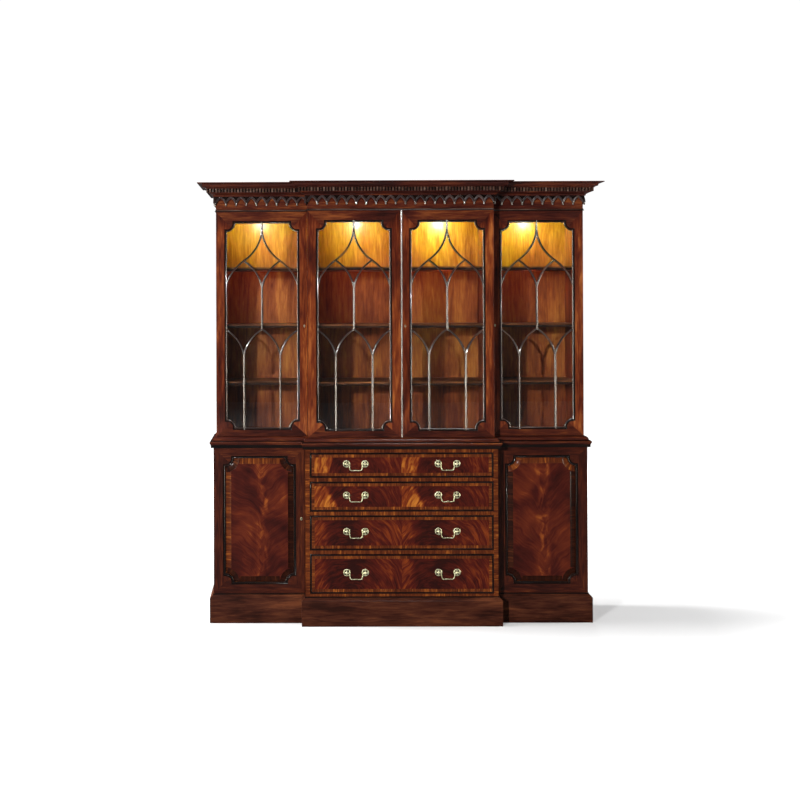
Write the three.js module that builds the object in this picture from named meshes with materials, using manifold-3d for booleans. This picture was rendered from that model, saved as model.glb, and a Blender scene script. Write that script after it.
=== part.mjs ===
// A breakfront china cabinet: a glazed upper case with gothic tracery doors stands on a base
// with four drawers between two cupboards. Millimetres, +Z up, the front faces -Y. The origin
// is on the floor, under the middle of the whole depth.

import * as THREE from 'three';
import { mergeVertices } from 'three/addons/utils/BufferGeometryUtils.js';
import Module from 'manifold-3d';

const wasm = await Module();
wasm.setup();

// Plan of the cabinet
const upperWidth = 1916;
const centreWidth = 962;
const wingDepth = 355;
const breakDepth = 75;
const corniceReach = 92;
const baseProud = 15;
const plinthProud = 20;
const waistProud = 19.5;

// Heights, from the floor up
const plinthHeight = 151;
const plinthMouldHeight = 22;
const baseCaseHeight = 757;
const waistHeight = 57;
const upperCaseHeight = 1175;
const friezeHeight = 77;
const corniceHeight = 69;

// Boards, and the clearance between assembled pieces
const panelThickness = 22;
const backThickness = 8;
const ceilingThickness = 22;
const shelfThickness = 18;
const shelfSetback = 12;
const housingDepth = 5;
const fit = 0.3;
const overrun = 6;

// Shelf undersides, as shares of the clear height of the case that they stand in
const upperShelfShares = [0.231, 0.491, 0.751];
const cupboardShelfShare = 0.47;

// Plinth and crown frames
const plinthFrameDepth = 36;
const plinthRailDepth = 22;
const crownFrameDepth = 40;
const crownRailDepth = 22;
const neckBeadHeight = 10;
const neckBeadReach = 7;

// Arcade on the frieze
const archPitch = 52;
const arcadeThickness = 11;
const pendantWidth = 7;
const pendantTipHeight = 30;
const springHeight = 43;
const archApexHeight = 71;
const archShoulderShare = 0.56;
const archTurnShare = 0.2;
const archSteps = 4;

// Dentils under the cornice
const dentilPitch = 19;
const dentilWidth = 11;
const dentilRoot = 36;
const dentilReach = 11;

// Doors
const doorThickness = 22;
const doorReveal = 1.5;
const doorBackGap = 1;
const meetingGap = 2;
const pinRadius = 4;
const pinReach = 10;
const pinClearance = 0.4;
const mouldWidth = 11;
const rebate = 8;
const upperBottomRail = 45;
const upperTopRail = 61;
const caseStile = 56;
const breakStile = 51.5;
const lipDepth = 12;
const glassThickness = 3;
const cornerRadius = 43;
const cornerShoulder = 5;
const cornerSteps = 5;
const astragalWidth = 8;
const astragalRise = 4;
const astragalShares = [[0.2, 0.8], [0.5, 1], [0.8, 0.8]];

// Tracery bars
const barWidth = 9;
const barNose = 4;
const barSetback = 3;
const barSteps = 6;

// Cupboard doors
const panelBottomRail = 57;
const panelTopRail = 53;
const panelCaseStile = 61;
const panelBreakStile = 58.5;
const doorPanelThickness = 8;
const panelMargin = 18;
const marginRise = 1.4;
const fieldBorder = 29;
const fieldRise = 10.6;

// Drawers
const frameStile = 25;
const frameDepth = 22;
const topRail = 20;
const midRail = 23;
const bottomRail = 15;
const drawerShares = [125.5, 151, 176, 200.5];
const dustBoardThickness = 12;
const drawerFrontThickness = 20;
const drawerSideThickness = 12;
const drawerBottomThickness = 8;
const drawerSideGap = 2;
const drawerSideDrop = 16;
const drawerRearGap = 15;
const cockbeadWidth = 4;
const cockbeadRise = 2;

// Drawer pulls
const pullSpacing = 472;
const pullBoring = 95;
const pullRise = 7;
const bailDrop = 33;
const bailRadius = 2.5;
const bailSides = 8;
const rosetteRadius = 18.5;
const rosetteThickness = 2.5;
const rosetteSides = 12;
const postRadius = 6.3;
const postReach = 15;
const postTipRadius = 3.6;
const postTipLength = 3;
const postSides = 8;
const pivotReach = 9.5;
const bailPinInset = 1.5;

// Display lights
const lightRadius = 34;
const lightLensRadius = 25;
const lightHeight = 14;
const lightLensSetback = 4;
const lightRimHeight = 2;
const lightSides = 20;

// Facets of curves
const mouldSteps = 4;
const roundSteps = 3;
const pinSides = 16;
const rearRoundSides = 24;
const weldShare = 0.001;

// Places that follow from the sizes
const upperHalf = upperWidth / 2;
const centreHalf = centreWidth / 2;
const backFace = (wingDepth + breakDepth + corniceReach) / 2;
const wingFace = backFace - wingDepth;
const centreFace = wingFace - breakDepth;
const baseHalf = upperHalf + baseProud;
const baseCentreHalf = centreHalf + baseProud;
const baseWingFace = wingFace - baseProud;
const baseCentreFace = centreFace - baseProud;
const boardRear = backFace - backThickness - fit;
const doorSeat = doorThickness + doorBackGap;
const baseTop = plinthHeight + baseCaseHeight;
const upperFloor = baseTop + waistHeight;
const friezeFloor = upperFloor + upperCaseHeight;
const corniceFloor = friezeFloor + friezeHeight;
const ceilingFloor = friezeFloor - ceilingThickness;
const upperClear = ceilingFloor - upperFloor;
const pinInset = doorThickness / 2;
const baseBottomThickness = bottomRail + doorReveal - fit - fit;
const cupboardFloor = plinthHeight + fit + baseBottomThickness;
const cupboardClear = baseTop - cupboardFloor;
const frameBack = baseCentreFace + frameDepth;

const wood = new THREE.MeshStandardMaterial({ color: 0x5b2618, roughness: 0.35, metalness: 0 });
const interiorWood = new THREE.MeshStandardMaterial({ color: 0x9a5a2c, roughness: 0.5, metalness: 0 });
const flameWood = new THREE.MeshStandardMaterial({ color: 0x7a3018, roughness: 0.3, metalness: 0 });
const glass = new THREE.MeshStandardMaterial({
  color: 0xdfe8e6, roughness: 0.05, metalness: 0, transparent: true, opacity: 0.25,
});
const brass = new THREE.MeshStandardMaterial({ color: 0xb8a878, roughness: 0.35, metalness: 1 });

const cabinet = new THREE.Group();

function flat(x, y) {
  return new THREE.Vector2(x, y);
}

function addMesh(parent, name, geometry, material, x = 0, y = 0, z = 0) {
  const mesh = new THREE.Mesh(geometry, material.clone());
  mesh.name = name;
  mesh.position.set(x, y, z);
  parent.add(mesh);
  return mesh;
}

// A block between two opposite corners.
function block(x0, x1, y0, y1, z0, z1) {
  const geometry = new THREE.BoxGeometry(x1 - x0, y1 - y0, z1 - z0);
  geometry.translate((x0 + x1) / 2, (y0 + y1) / 2, (z0 + z1) / 2);
  return geometry;
}

// A board drawn in front view, standing with its front at frontY.
function standingBoard(shape, thickness, frontY) {
  const geometry = new THREE.ExtrudeGeometry(shape, { depth: thickness, bevelEnabled: false });
  geometry.rotateX(Math.PI / 2);
  geometry.translate(0, frontY + thickness, 0);
  return geometry;
}

function sixfold(index, positions) {
  let sum = 0;
  const a = new THREE.Vector3();
  const b = new THREE.Vector3();
  const c = new THREE.Vector3();
  for (let i = 0; i < index.length; i += 3) {
    a.fromArray(positions, 3 * index[i]);
    b.fromArray(positions, 3 * index[i + 1]);
    c.fromArray(positions, 3 * index[i + 2]);
    sum += a.dot(b.cross(c));
  }
  return sum;
}

// A body skinned over rings of equal point count. With a contour its two ends are closed by
// flat caps of that outline, and without one the last ring joins the first.
function skin(rings, contour) {
  const count = rings[0].length;
  const positions = rings.flat().flatMap((point) => [point.x, point.y, point.z]);
  const index = [];
  const spans = contour ? rings.length - 1 : rings.length;
  for (let i = 0; i < spans; i += 1) {
    const here = i * count;
    const there = ((i + 1) % rings.length) * count;
    for (let j = 0; j < count; j += 1) {
      const k = (j + 1) % count;
      index.push(here + j, there + j, there + k);
      index.push(here + j, there + k, here + k);
    }
  }
  if (contour) {
    const last = (rings.length - 1) * count;
    const turn = Math.sign(THREE.ShapeUtils.area(contour));
    for (const [a, b, c] of THREE.ShapeUtils.triangulateShape(contour, [])) {
      const same = Math.sign(THREE.ShapeUtils.area([contour[a], contour[b], contour[c]])) === turn;
      const [p, q] = same ? [b, c] : [c, b];
      index.push(a, p, q);
      index.push(last + q, last + p, last + a);
    }
  }
  if (sixfold(index, positions) < 0) {
    index.reverse();
  }
  const geometry = new THREE.BufferGeometry();
  geometry.setAttribute('position', new THREE.Float32BufferAttribute(positions, 3));
  geometry.setIndex(index);
  return geometry;
}

// A solid for cutting and joining, from a closed geometry.
function toSolid(geometry) {
  geometry.deleteAttribute('normal');
  geometry.deleteAttribute('uv');
  const merged = mergeVertices(geometry, fit * weldShare);
  const corners = merged.index.array;
  const triangles = [];
  for (let i = 0; i < corners.length; i += 3) {
    const [a, b, c] = [corners[i], corners[i + 1], corners[i + 2]];
    if (a !== b && b !== c && c !== a) {
      triangles.push(a, b, c);
    }
  }
  return new wasm.Manifold(new wasm.Mesh({
    numProp: 3,
    vertProperties: Float32Array.from(merged.attributes.position.array),
    triVerts: Uint32Array.from(triangles),
  }));
}

function toGeometry(solid) {
  const mesh = solid.getMesh();
  const geometry = new THREE.BufferGeometry();
  geometry.setAttribute('position', new THREE.Float32BufferAttribute(mesh.vertProperties, 3));
  geometry.setIndex(Array.from(mesh.triVerts));
  geometry.computeVertexNormals();
  return geometry;
}

function join(geometries) {
  return geometries.map(toSolid).reduce((whole, piece) => whole.add(piece));
}

function cut(solid, geometries) {
  return geometries.map(toSolid).reduce((whole, tool) => whole.subtract(tool), solid);
}

// An upright round pin or bore.
function uprightRound(radius, x, y, z0, z1) {
  const geometry = new THREE.CylinderGeometry(radius, radius, z1 - z0, pinSides);
  geometry.rotateX(Math.PI / 2);
  geometry.translate(x, y, (z0 + z1) / 2);
  return geometry;
}

// The case's front line in plan, standing proud of the upper case's faces by one distance:
// along the left side, round both steps of the breakfront and back along the right side.
function planLine(proud) {
  const side = upperHalf + proud;
  const step = centreHalf + proud;
  const wing = wingFace - proud;
  const centre = centreFace - proud;
  return [
    flat(-side, backFace), flat(-side, wing), flat(-step, wing), flat(-step, centre),
    flat(step, centre), flat(step, wing), flat(side, wing), flat(side, backFace),
  ];
}

// A moulding or frame carried round the front line with mitred corners. The profile's points
// hold how far they stand proud, and their height.
function mouldingRun(profile) {
  const lines = profile.map((point) => planLine(point.x));
  const rings = lines[0].map((_, corner) => profile.map(
    (point, i) => new THREE.Vector3(lines[i][corner].x, lines[i][corner].y, point.y),
  ));
  return skin(rings, profile);
}

// A whole board in the breakfront plan, with a moulded edge.
function mouldedBoard(profile) {
  const rings = profile.map((point) => planLine(point.x).map(
    (place) => new THREE.Vector3(place.x, place.y, point.y),
  ));
  return skin(rings, planLine(profile[0].x));
}

// Curves of a moulding between two points of its profile, without the first point.
function ogee(from, to, steps) {
  return Array.from({ length: steps }, (_, i) => {
    const t = (i + 1) / steps;
    const swing = t * t * (3 - 2 * t);
    return flat(from.x + (to.x - from.x) * swing, from.y + (to.y - from.y) * t);
  });
}

function quarterRound(from, to, steps) {
  return Array.from({ length: steps }, (_, i) => {
    const angle = ((i + 1) / steps) * (Math.PI / 2);
    const out = Math.sin(angle);
    return flat(from.x + (to.x - from.x) * out, from.y + (to.y - from.y) * (1 - Math.cos(angle)));
  });
}

function cove(from, to, steps) {
  return Array.from({ length: steps }, (_, i) => {
    const angle = ((i + 1) / steps) * (Math.PI / 2);
    const out = 1 - Math.cos(angle);
    return flat(from.x + (to.x - from.x) * out, from.y + (to.y - from.y) * Math.sin(angle));
  });
}

// A flat board in the breakfront plan, for the inside of a case.
function caseBoard(half, stepHalf, wingFront, centreFront, z0, thickness) {
  const shape = new THREE.Shape([
    flat(-half, boardRear), flat(-half, wingFront), flat(-stepHalf, wingFront),
    flat(-stepHalf, centreFront), flat(stepHalf, centreFront), flat(stepHalf, wingFront),
    flat(half, wingFront), flat(half, boardRear),
  ]);
  const geometry = new THREE.ExtrudeGeometry(shape, { depth: thickness, bevelEnabled: false });
  geometry.translate(0, 0, z0);
  return geometry;
}

// Shelves: where they lie, and the housings that carry their ends
const upperShelfLevels = upperShelfShares.map((share) => upperFloor + share * upperClear);
const cupboardShelfLevel = cupboardFloor + cupboardShelfShare * cupboardClear;

// A cutter for a shelf housing in the face of an upright at x, which looks along the given way.
function housing(x, way, front, level) {
  const deep = x - way * housingDepth;
  const clear = x + way * overrun;
  return block(
    Math.min(deep, clear), Math.max(deep, clear),
    front + shelfSetback - fit, boardRear + overrun + backThickness,
    level - fit, level + shelfThickness + fit,
  );
}

// Lower case

// Where the pins of a pair of doors stand, for a case standing proud of the upper faces.
function pinPlace(edge, hand, face) {
  return [edge + hand * pinInset, face + pinInset];
}

const cupboardPins = [pinPlace(-baseHalf, 1, baseWingFace), pinPlace(baseHalf, -1, baseWingFace)];
const displayPins = [
  pinPlace(-upperHalf, 1, wingFace), pinPlace(-centreHalf, 1, centreFace),
  pinPlace(centreHalf, -1, centreFace), pinPlace(upperHalf, -1, wingFace),
];

function pinBores(places, z0, z1) {
  return places.map(([x, y]) => uprightRound(pinRadius + pinClearance, x, y, z0, z1));
}

function plinthBody() {
  const face = baseProud + plinthProud;
  const rear = baseProud - plinthFrameDepth;
  const faceTop = plinthHeight - plinthMouldHeight;
  const lift = plinthMouldHeight / 8;
  const lip = baseProud + plinthProud / 8;
  const ledge = flat(face - lift, faceTop + lift);
  const profile = [
    flat(rear, 0), flat(face, 0), flat(face, faceTop), ledge,
    ...ogee(ledge, flat(lip, plinthHeight - lift), mouldSteps),
    flat(lip, plinthHeight), flat(rear, plinthHeight),
  ];
  const rail = block(
    -baseHalf + overrun, baseHalf - overrun, backFace - plinthRailDepth, backFace, 0, plinthHeight,
  );
  return cut(
    join([mouldingRun(profile), rail]),
    pinBores(cupboardPins, plinthHeight - pinReach, plinthHeight + overrun),
  );
}

addMesh(cabinet, 'plinth', toGeometry(plinthBody()), wood);

addMesh(cabinet, 'base_bottom', caseBoard(
  baseHalf - panelThickness - fit, baseCentreHalf, baseWingFace + doorSeat,
  frameBack + fit, 0, baseBottomThickness,
), interiorWood, 0, 0, plinthHeight + fit);

addMesh(cabinet, 'base_back', block(
  -baseHalf + panelThickness + fit, baseHalf - panelThickness - fit,
  -backThickness / 2, backThickness / 2, plinthHeight + fit, baseTop - fit,
), interiorWood, 0, backFace - backThickness / 2, 0);

for (const [side, way] of [['left', -1], ['right', 1]]) {
  const outer = way * baseHalf;
  const inner = way * (baseHalf - panelThickness);
  const front = baseWingFace + doorSeat;
  const panel = block(
    Math.min(outer, inner), Math.max(outer, inner), front, backFace, plinthHeight + fit, baseTop - fit,
  );
  const housed = cut(toSolid(panel), [housing(inner, -way, front, cupboardShelfLevel)]);
  addMesh(cabinet, `base_side_${side}`, toGeometry(housed), wood);

  const divider = way * baseCentreHalf;
  const dividerInner = way * (baseCentreHalf - panelThickness);
  const partition = block(
    Math.min(divider, dividerInner), Math.max(divider, dividerInner),
    frameBack + fit, boardRear, cupboardFloor + fit, baseTop - fit,
  );
  const grooved = cut(toSolid(partition), [housing(divider, way, front, cupboardShelfLevel)]);
  addMesh(cabinet, `base_partition_${side}`, toGeometry(grooved), wood);

  const ends = [divider - way * (housingDepth - fit), inner + way * (housingDepth - fit)];
  const width = Math.abs(ends[1] - ends[0]);
  const depth = boardRear - front - shelfSetback;
  addMesh(
    cabinet, `cupboard_shelf_${side}`, new THREE.BoxGeometry(width, depth, shelfThickness),
    interiorWood, (ends[0] + ends[1]) / 2, boardRear - depth / 2, cupboardShelfLevel + shelfThickness / 2,
  );
}

// The moulded board between the two cases carries the upper doors' lower pins in its top. Its
// nose stands between two shares of its height.
const noseShares = [0.36, 0.58];

function waistBody() {
  const nose = baseProud + waistProud;
  const throat = baseProud + waistProud / 3;
  const noseBottom = baseTop + waistHeight * noseShares[0];
  const noseTop = baseTop + waistHeight * noseShares[1];
  const noseMiddle = (noseBottom + noseTop) / 2;
  const shoulder = nose - waistProud / 6;
  const top = flat(baseProud / 10, upperFloor);
  const foot = flat(baseProud + waistProud / 10, baseTop);
  const quirk = flat(throat, noseTop + waistHeight / 12);
  const profile = [
    foot, ...ogee(foot, flat(shoulder, noseBottom), mouldSteps),
    flat(nose, noseMiddle), flat(shoulder, noseTop), quirk, ...cove(quirk, top, mouldSteps),
  ];
  return cut(toSolid(mouldedBoard(profile)), [
    ...pinBores(displayPins, upperFloor - pinReach, upperFloor + overrun),
    ...pinBores(cupboardPins, baseTop - overrun, baseTop + pinReach),
  ]);
}

addMesh(cabinet, 'waist_board', toGeometry(waistBody()), wood);

// Upper case

for (const [side, way] of [['left', -1], ['right', 1]]) {
  const outer = way * upperHalf;
  const inner = way * (upperHalf - panelThickness);
  const wingFront = wingFace + doorSeat;
  const centreFront = centreFace + doorSeat;
  const panel = block(
    Math.min(outer, inner), Math.max(outer, inner), wingFront, backFace, upperFloor + fit, friezeFloor - fit,
  );
  const sideHousings = upperShelfLevels.map((level) => housing(inner, -way, wingFront, level));
  addMesh(cabinet, `upper_side_${side}`, toGeometry(cut(toSolid(panel), sideHousings)), wood);

  const divider = way * centreHalf;
  const dividerInner = way * (centreHalf - panelThickness);
  const partition = block(
    Math.min(divider, dividerInner), Math.max(divider, dividerInner),
    centreFront, boardRear, upperFloor + fit, ceilingFloor - fit,
  );
  const dividerHousings = upperShelfLevels.flatMap((level) => [
    housing(divider, way, wingFront, level), housing(dividerInner, -way, centreFront, level),
  ]);
  addMesh(cabinet, `upper_partition_${side}`, toGeometry(cut(toSolid(partition), dividerHousings)), wood);

  const ends = [divider - way * (housingDepth - fit), inner + way * (housingDepth - fit)];
  const width = Math.abs(ends[1] - ends[0]);
  const depth = boardRear - wingFront - shelfSetback;
  upperShelfLevels.forEach((level, i) => {
    addMesh(
      cabinet, `shelf_${side}_${i + 1}`, new THREE.BoxGeometry(width, depth, shelfThickness),
      interiorWood, (ends[0] + ends[1]) / 2, boardRear - depth / 2, level + shelfThickness / 2,
    );
  });
}

upperShelfLevels.forEach((level, i) => {
  const width = 2 * (centreHalf - panelThickness + housingDepth - fit);
  const depth = boardRear - centreFace - doorSeat - shelfSetback;
  addMesh(
    cabinet, `shelf_centre_${i + 1}`, new THREE.BoxGeometry(width, depth, shelfThickness),
    interiorWood, 0, boardRear - depth / 2, level + shelfThickness / 2,
  );
});

addMesh(cabinet, 'upper_ceiling', caseBoard(
  upperHalf - panelThickness - fit, centreHalf, wingFace + doorSeat,
  centreFace + doorSeat, 0, ceilingThickness - fit,
), interiorWood, 0, 0, ceilingFloor);

addMesh(cabinet, 'upper_back', block(
  -upperHalf + panelThickness + fit, upperHalf - panelThickness - fit,
  -backThickness / 2, backThickness / 2, upperFloor + fit, friezeFloor - fit,
), interiorWood, 0, backFace - backThickness / 2, 0);

// Display lights, one under the ceiling behind each door
function lightBody() {
  const outline = [
    flat(0, -lightHeight + lightLensSetback), flat(lightLensRadius, -lightHeight + lightLensSetback),
    flat(lightLensRadius + lightRimHeight, -lightHeight), flat(lightRadius, -lightHeight + lightRimHeight),
    flat(lightRadius, 0), flat(0, 0),
  ];
  const geometry = new THREE.LatheGeometry(outline, lightSides);
  geometry.rotateX(Math.PI / 2);
  return toGeometry(toSolid(geometry));
}

const wingBayMiddle = (upperHalf - panelThickness + centreHalf) / 2;
const lightPlaces = [
  ['wing_left', -wingBayMiddle, (wingFace + boardRear) / 2],
  ['centre_left', -centreHalf / 2, (wingFace + boardRear) / 2],
  ['centre_right', centreHalf / 2, (wingFace + boardRear) / 2],
  ['wing_right', wingBayMiddle, (wingFace + boardRear) / 2],
];
for (const [name, x, y] of lightPlaces) {
  addMesh(cabinet, `light_${name}`, lightBody(), brass, x, y, ceilingFloor - fit);
}

// Crown: the arcaded frieze and the dentilled cornice

// Straight runs of the front line, each with its start, direction, outward way and length, and
// whether the corners at its two ends turn outward.
function planRuns(proud) {
  const line = planLine(proud);
  const outward = [true, true, false, true, true, false, true, true];
  return line.slice(1).map((end, i) => {
    const start = line[i];
    const along = end.clone().sub(start);
    const length = along.length();
    along.divideScalar(length);
    return { start, along, away: flat(along.y, -along.x), length, turns: [outward[i], outward[i + 1]] };
  });
}

// The lower edge of the arcade along one run: pendants with small drops, and pointed arches
// between them. A pendant on an outward corner reaches past it by the arcade's thickness.
function arcadeOutline(run, isFirst, isLast) {
  const arches = Math.max(1, Math.round(run.length / archPitch));
  const pitch = run.length / arches;
  const half = pendantWidth / 2;
  const swell = half / 3;
  const dropTop = pendantTipHeight + pendantWidth / 2;
  const startReach = run.turns[0] && !isFirst ? arcadeThickness : 0;
  const endReach = run.turns[1] && !isLast ? arcadeThickness : 0;
  const edge = [flat(-startReach, pendantTipHeight)];
  for (let i = 0; i < arches; i += 1) {
    const left = i * pitch + half;
    const right = (i + 1) * pitch - half;
    const middle = (left + right) / 2;
    const rise = springHeight + (archApexHeight - springHeight) * archShoulderShare;
    const inset = (middle - left) * archTurnShare;
    edge.push(flat(left + swell, dropTop));
    const up = new THREE.QuadraticBezierCurve(
      flat(left, springHeight), flat(left + inset, rise), flat(middle, archApexHeight),
    );
    edge.push(...up.getPoints(archSteps));
    const down = new THREE.QuadraticBezierCurve(
      flat(middle, archApexHeight), flat(right - inset, rise), flat(right, springHeight),
    );
    edge.push(...down.getPoints(archSteps).slice(1));
    edge.push(flat(right - swell, dropTop));
    if (i < arches - 1) {
      edge.push(flat(right + half, pendantTipHeight));
    }
  }
  edge.push(flat(run.length + endReach, pendantTipHeight));
  edge.push(flat(run.length + endReach, friezeHeight));
  edge.push(flat(-startReach, friezeHeight));
  return edge;
}

function arcadeRuns() {
  const runs = planRuns(0);
  return runs.map((run, i) => {
    const shape = new THREE.Shape(arcadeOutline(run, i === 0, i === runs.length - 1));
    const depth = arcadeThickness + overrun;
    const geometry = new THREE.ExtrudeGeometry(shape, { depth, bevelEnabled: false });
    const along = new THREE.Vector3(run.along.x, run.along.y, 0);
    const away = new THREE.Vector3(run.away.x, run.away.y, 0);
    const frame = new THREE.Matrix4().makeBasis(along, new THREE.Vector3(0, 0, 1), away);
    frame.setPosition(
      run.start.x - run.away.x * overrun, run.start.y - run.away.y * overrun, friezeFloor,
    );
    geometry.applyMatrix4(frame);
    return geometry;
  });
}

function friezeBody() {
  const round = neckBeadHeight / 4;
  const top = corniceFloor - fit;
  const profile = [
    flat(-crownFrameDepth, friezeFloor), flat(neckBeadReach - round, friezeFloor),
    flat(neckBeadReach, friezeFloor + round), flat(neckBeadReach, friezeFloor + neckBeadHeight - round),
    flat(neckBeadReach - round, friezeFloor + neckBeadHeight), flat(0, friezeFloor + neckBeadHeight),
    flat(0, top), flat(-crownFrameDepth, top),
  ];
  const rail = block(
    -upperHalf + overrun, upperHalf - overrun, backFace - crownRailDepth, backFace, friezeFloor, top,
  );
  const trim = block(
    -upperHalf - corniceReach, upperHalf + corniceReach,
    centreFace - corniceReach, backFace + overrun, top, corniceFloor + overrun,
  );
  return cut(join([mouldingRun(profile), rail, ...arcadeRuns()]), [
    trim, ...pinBores(displayPins, friezeFloor - overrun, friezeFloor + pinReach),
  ]);
}

addMesh(cabinet, 'arcade_frieze', toGeometry(friezeBody()), wood);

// Heights of the cornice's members, as shares of its height, and their reach as shares of the
// whole overhang.
const footShare = 0.06;
const dentilBottomShare = 0.3;
const dentilTopShare = 0.58;
const filletTopShare = 0.64;
const coronaShares = [0.72, 0.77];
const crownFilletShare = 0.93;
const coronaReachShares = [0.55, 0.72, 0.87];

function dentilBand() {
  const root = dentilRoot;
  const top = corniceFloor + corniceHeight * dentilTopShare;
  const bottom = corniceFloor + corniceHeight * dentilBottomShare;
  const height = top - bottom + fit;
  return planRuns(root + dentilReach).map((run) => {
    const gaps = Math.max(1, Math.round((run.length - dentilWidth) / dentilPitch));
    const step = (run.length - dentilWidth) / gaps;
    const outline = [flat(run.length, dentilReach + overrun), flat(0, dentilReach + overrun)];
    for (let i = 0; i <= gaps; i += 1) {
      const inward = (i === 0 && !run.turns[0]) || (i === gaps && !run.turns[1]);
      const left = i * step;
      if (!inward) {
        outline.push(flat(left, dentilReach), flat(left, 0));
        outline.push(flat(left + dentilWidth, 0), flat(left + dentilWidth, dentilReach));
      }
    }
    const clean = outline.filter((point, i) => i === 0 || point.distanceTo(outline[i - 1]) > fit);
    if (!run.turns[0]) {
      clean.splice(2, 0, flat(0, dentilReach));
    }
    if (!run.turns[1]) {
      clean.push(flat(run.length, dentilReach));
    }
    const shape = new THREE.Shape(clean);
    const geometry = new THREE.ExtrudeGeometry(shape, { depth: height, bevelEnabled: false });
    const along = new THREE.Vector3(run.along.x, run.along.y, 0);
    const inside = new THREE.Vector3(-run.away.x, -run.away.y, 0);
    const frame = new THREE.Matrix4().makeBasis(along, inside, new THREE.Vector3(0, 0, 1));
    frame.setPosition(run.start.x, run.start.y, bottom);
    geometry.applyMatrix4(frame);
    return geometry;
  });
}

function corniceBody() {
  const level = (share) => corniceFloor + corniceHeight * share;
  const reach = coronaReachShares.map((share) => corniceReach * share);
  const foot = arcadeThickness + overrun / 4;
  const bed = level(dentilBottomShare);
  const start = flat(foot, level(footShare));
  const corona = flat(reach[0], level(filletTopShare));
  const drip = flat(reach[1], level(coronaShares[0]));
  const face = flat(reach[1], level(coronaShares[1]));
  const lip = flat(reach[2], level(crownFilletShare));
  const profile = [
    flat(-crownFrameDepth, corniceFloor), flat(foot, corniceFloor), start,
    ...ogee(start, flat(dentilRoot, bed - fit), mouldSteps), flat(dentilRoot, level(dentilTopShare)),
    flat(reach[0], level(dentilTopShare)), corona, ...quarterRound(corona, drip, roundSteps),
    face, ...cove(face, lip, mouldSteps), flat(corniceReach, level(crownFilletShare)),
    flat(corniceReach, level(1)), flat(-crownFrameDepth, level(1)),
  ];
  return join([mouldingRun(profile), ...dentilBand()]);
}

addMesh(cabinet, 'crown_cornice', toGeometry(corniceBody()), wood);

// Doors

// The outline of an opening whose corners are cut by indented quarter rounds with small
// shoulders, grown by one distance on every side. Centred on the opening.
function indentedOutline(width, height, grow) {
  const reach = Math.hypot(cornerRadius, cornerShoulder);
  const radius = reach - grow;
  const flatReach = cornerRadius - grow;
  const first = Math.acos(flatReach / radius);
  const last = Math.PI / 2 - first;
  const quarter = [flat(-flatReach, grow)];
  for (let i = 0; i <= cornerSteps; i += 1) {
    const angle = first + ((last - first) * i) / cornerSteps;
    quarter.push(flat(-radius * Math.cos(angle), -radius * Math.sin(angle)));
  }
  quarter.push(flat(grow, -flatReach));
  const halfWidth = width / 2;
  const halfHeight = height / 2;
  const mirror = (sx, sy) => quarter.map((p) => flat(sx * (halfWidth + p.x), sy * (halfHeight + p.y)));
  return [
    ...mirror(1, 1), ...mirror(1, -1).reverse(), ...mirror(-1, -1), ...mirror(-1, 1).reverse(),
  ];
}

function rectangle(x0, x1, z0, z1) {
  return [flat(x0, z0), flat(x1, z0), flat(x1, z1), flat(x0, z1)];
}

// Sticking round an opening: each pair is how far out into the wood and how deep behind the
// face, as shares of the moulding's width and the lip's depth.
const stickingShares = [
  [0, 1], [0, 0.42], [0.55, 0.17], [0.66, -0.13], [0.95, -0.13], [1.08, 0.08], [1.2, 1],
];

// A framed leaf in its own frame: x runs from the pin towards the free edge, y from the front
// back, z up from the leaf's foot. The hand is 1 for a leaf pinned on its left, -1 on its right.
function leafFrame(spec) {
  const near = -pinInset;
  const far = spec.width - pinInset;
  const x0 = spec.hand > 0 ? near : -far;
  const x1 = spec.hand > 0 ? far : -near;
  const middle = flat(spec.sightX, spec.bottomRail + spec.sightHeight / 2);
  const front = -doorThickness / 2;
  const shift = (points) => points.map((p) => p.clone().add(middle));

  const lip = new THREE.Shape(rectangle(x0, x1, 0, spec.height));
  lip.holes.push(new THREE.Path(shift(indentedOutline(spec.sightWidth, spec.sightHeight, mouldWidth))));
  const rear = new THREE.Shape(rectangle(x0, x1, 0, spec.height));
  const rebateHalf = flat(spec.sightWidth / 2 + rebate, spec.sightHeight / 2 + rebate);
  rear.holes.push(new THREE.Path(rectangle(
    middle.x - rebateHalf.x, middle.x + rebateHalf.x, middle.y - rebateHalf.y, middle.y + rebateHalf.y,
  )));
  const rings = stickingShares.map(([out, deep]) => shift(
    indentedOutline(spec.sightWidth, spec.sightHeight, out * mouldWidth),
  ).map((p) => new THREE.Vector3(p.x, front + deep * lipDepth, p.y)));
  const lap = lipDepth / 8;
  const pieces = [
    standingBoard(lip, lipDepth, front),
    standingBoard(rear, doorThickness - lipDepth + lap, front + lipDepth - lap),
    skin(rings),
    uprightRound(pinRadius, 0, 0, -doorReveal - pinReach + fit, overrun),
    uprightRound(pinRadius, 0, 0, spec.height - overrun, spec.height + doorReveal + pinReach - fit),
  ];
  if (spec.astragal) {
    const edge = -spec.width + pinInset;
    const bead = new THREE.Shape();
    bead.moveTo(edge, front + fit);
    for (const [along, out] of astragalShares) {
      bead.lineTo(edge + astragalWidth * along, front - astragalRise * out);
    }
    bead.lineTo(edge + astragalWidth, front + fit);
    pieces.push(new THREE.ExtrudeGeometry(bead, { depth: spec.height, bevelEnabled: false }));
  }
  // The rear corner beside the pin is rounded about it, so that the leaf can turn past the case.
  const corner = cut(
    toSolid(block(
      spec.hand > 0 ? -pinInset - overrun : 0, spec.hand > 0 ? 0 : pinInset + overrun,
      0, pinInset + overrun, -fit, spec.height + fit,
    )),
    [roundPost(doorThickness / 2, spec.height)],
  );
  return join(pieces).subtract(corner);
}

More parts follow.
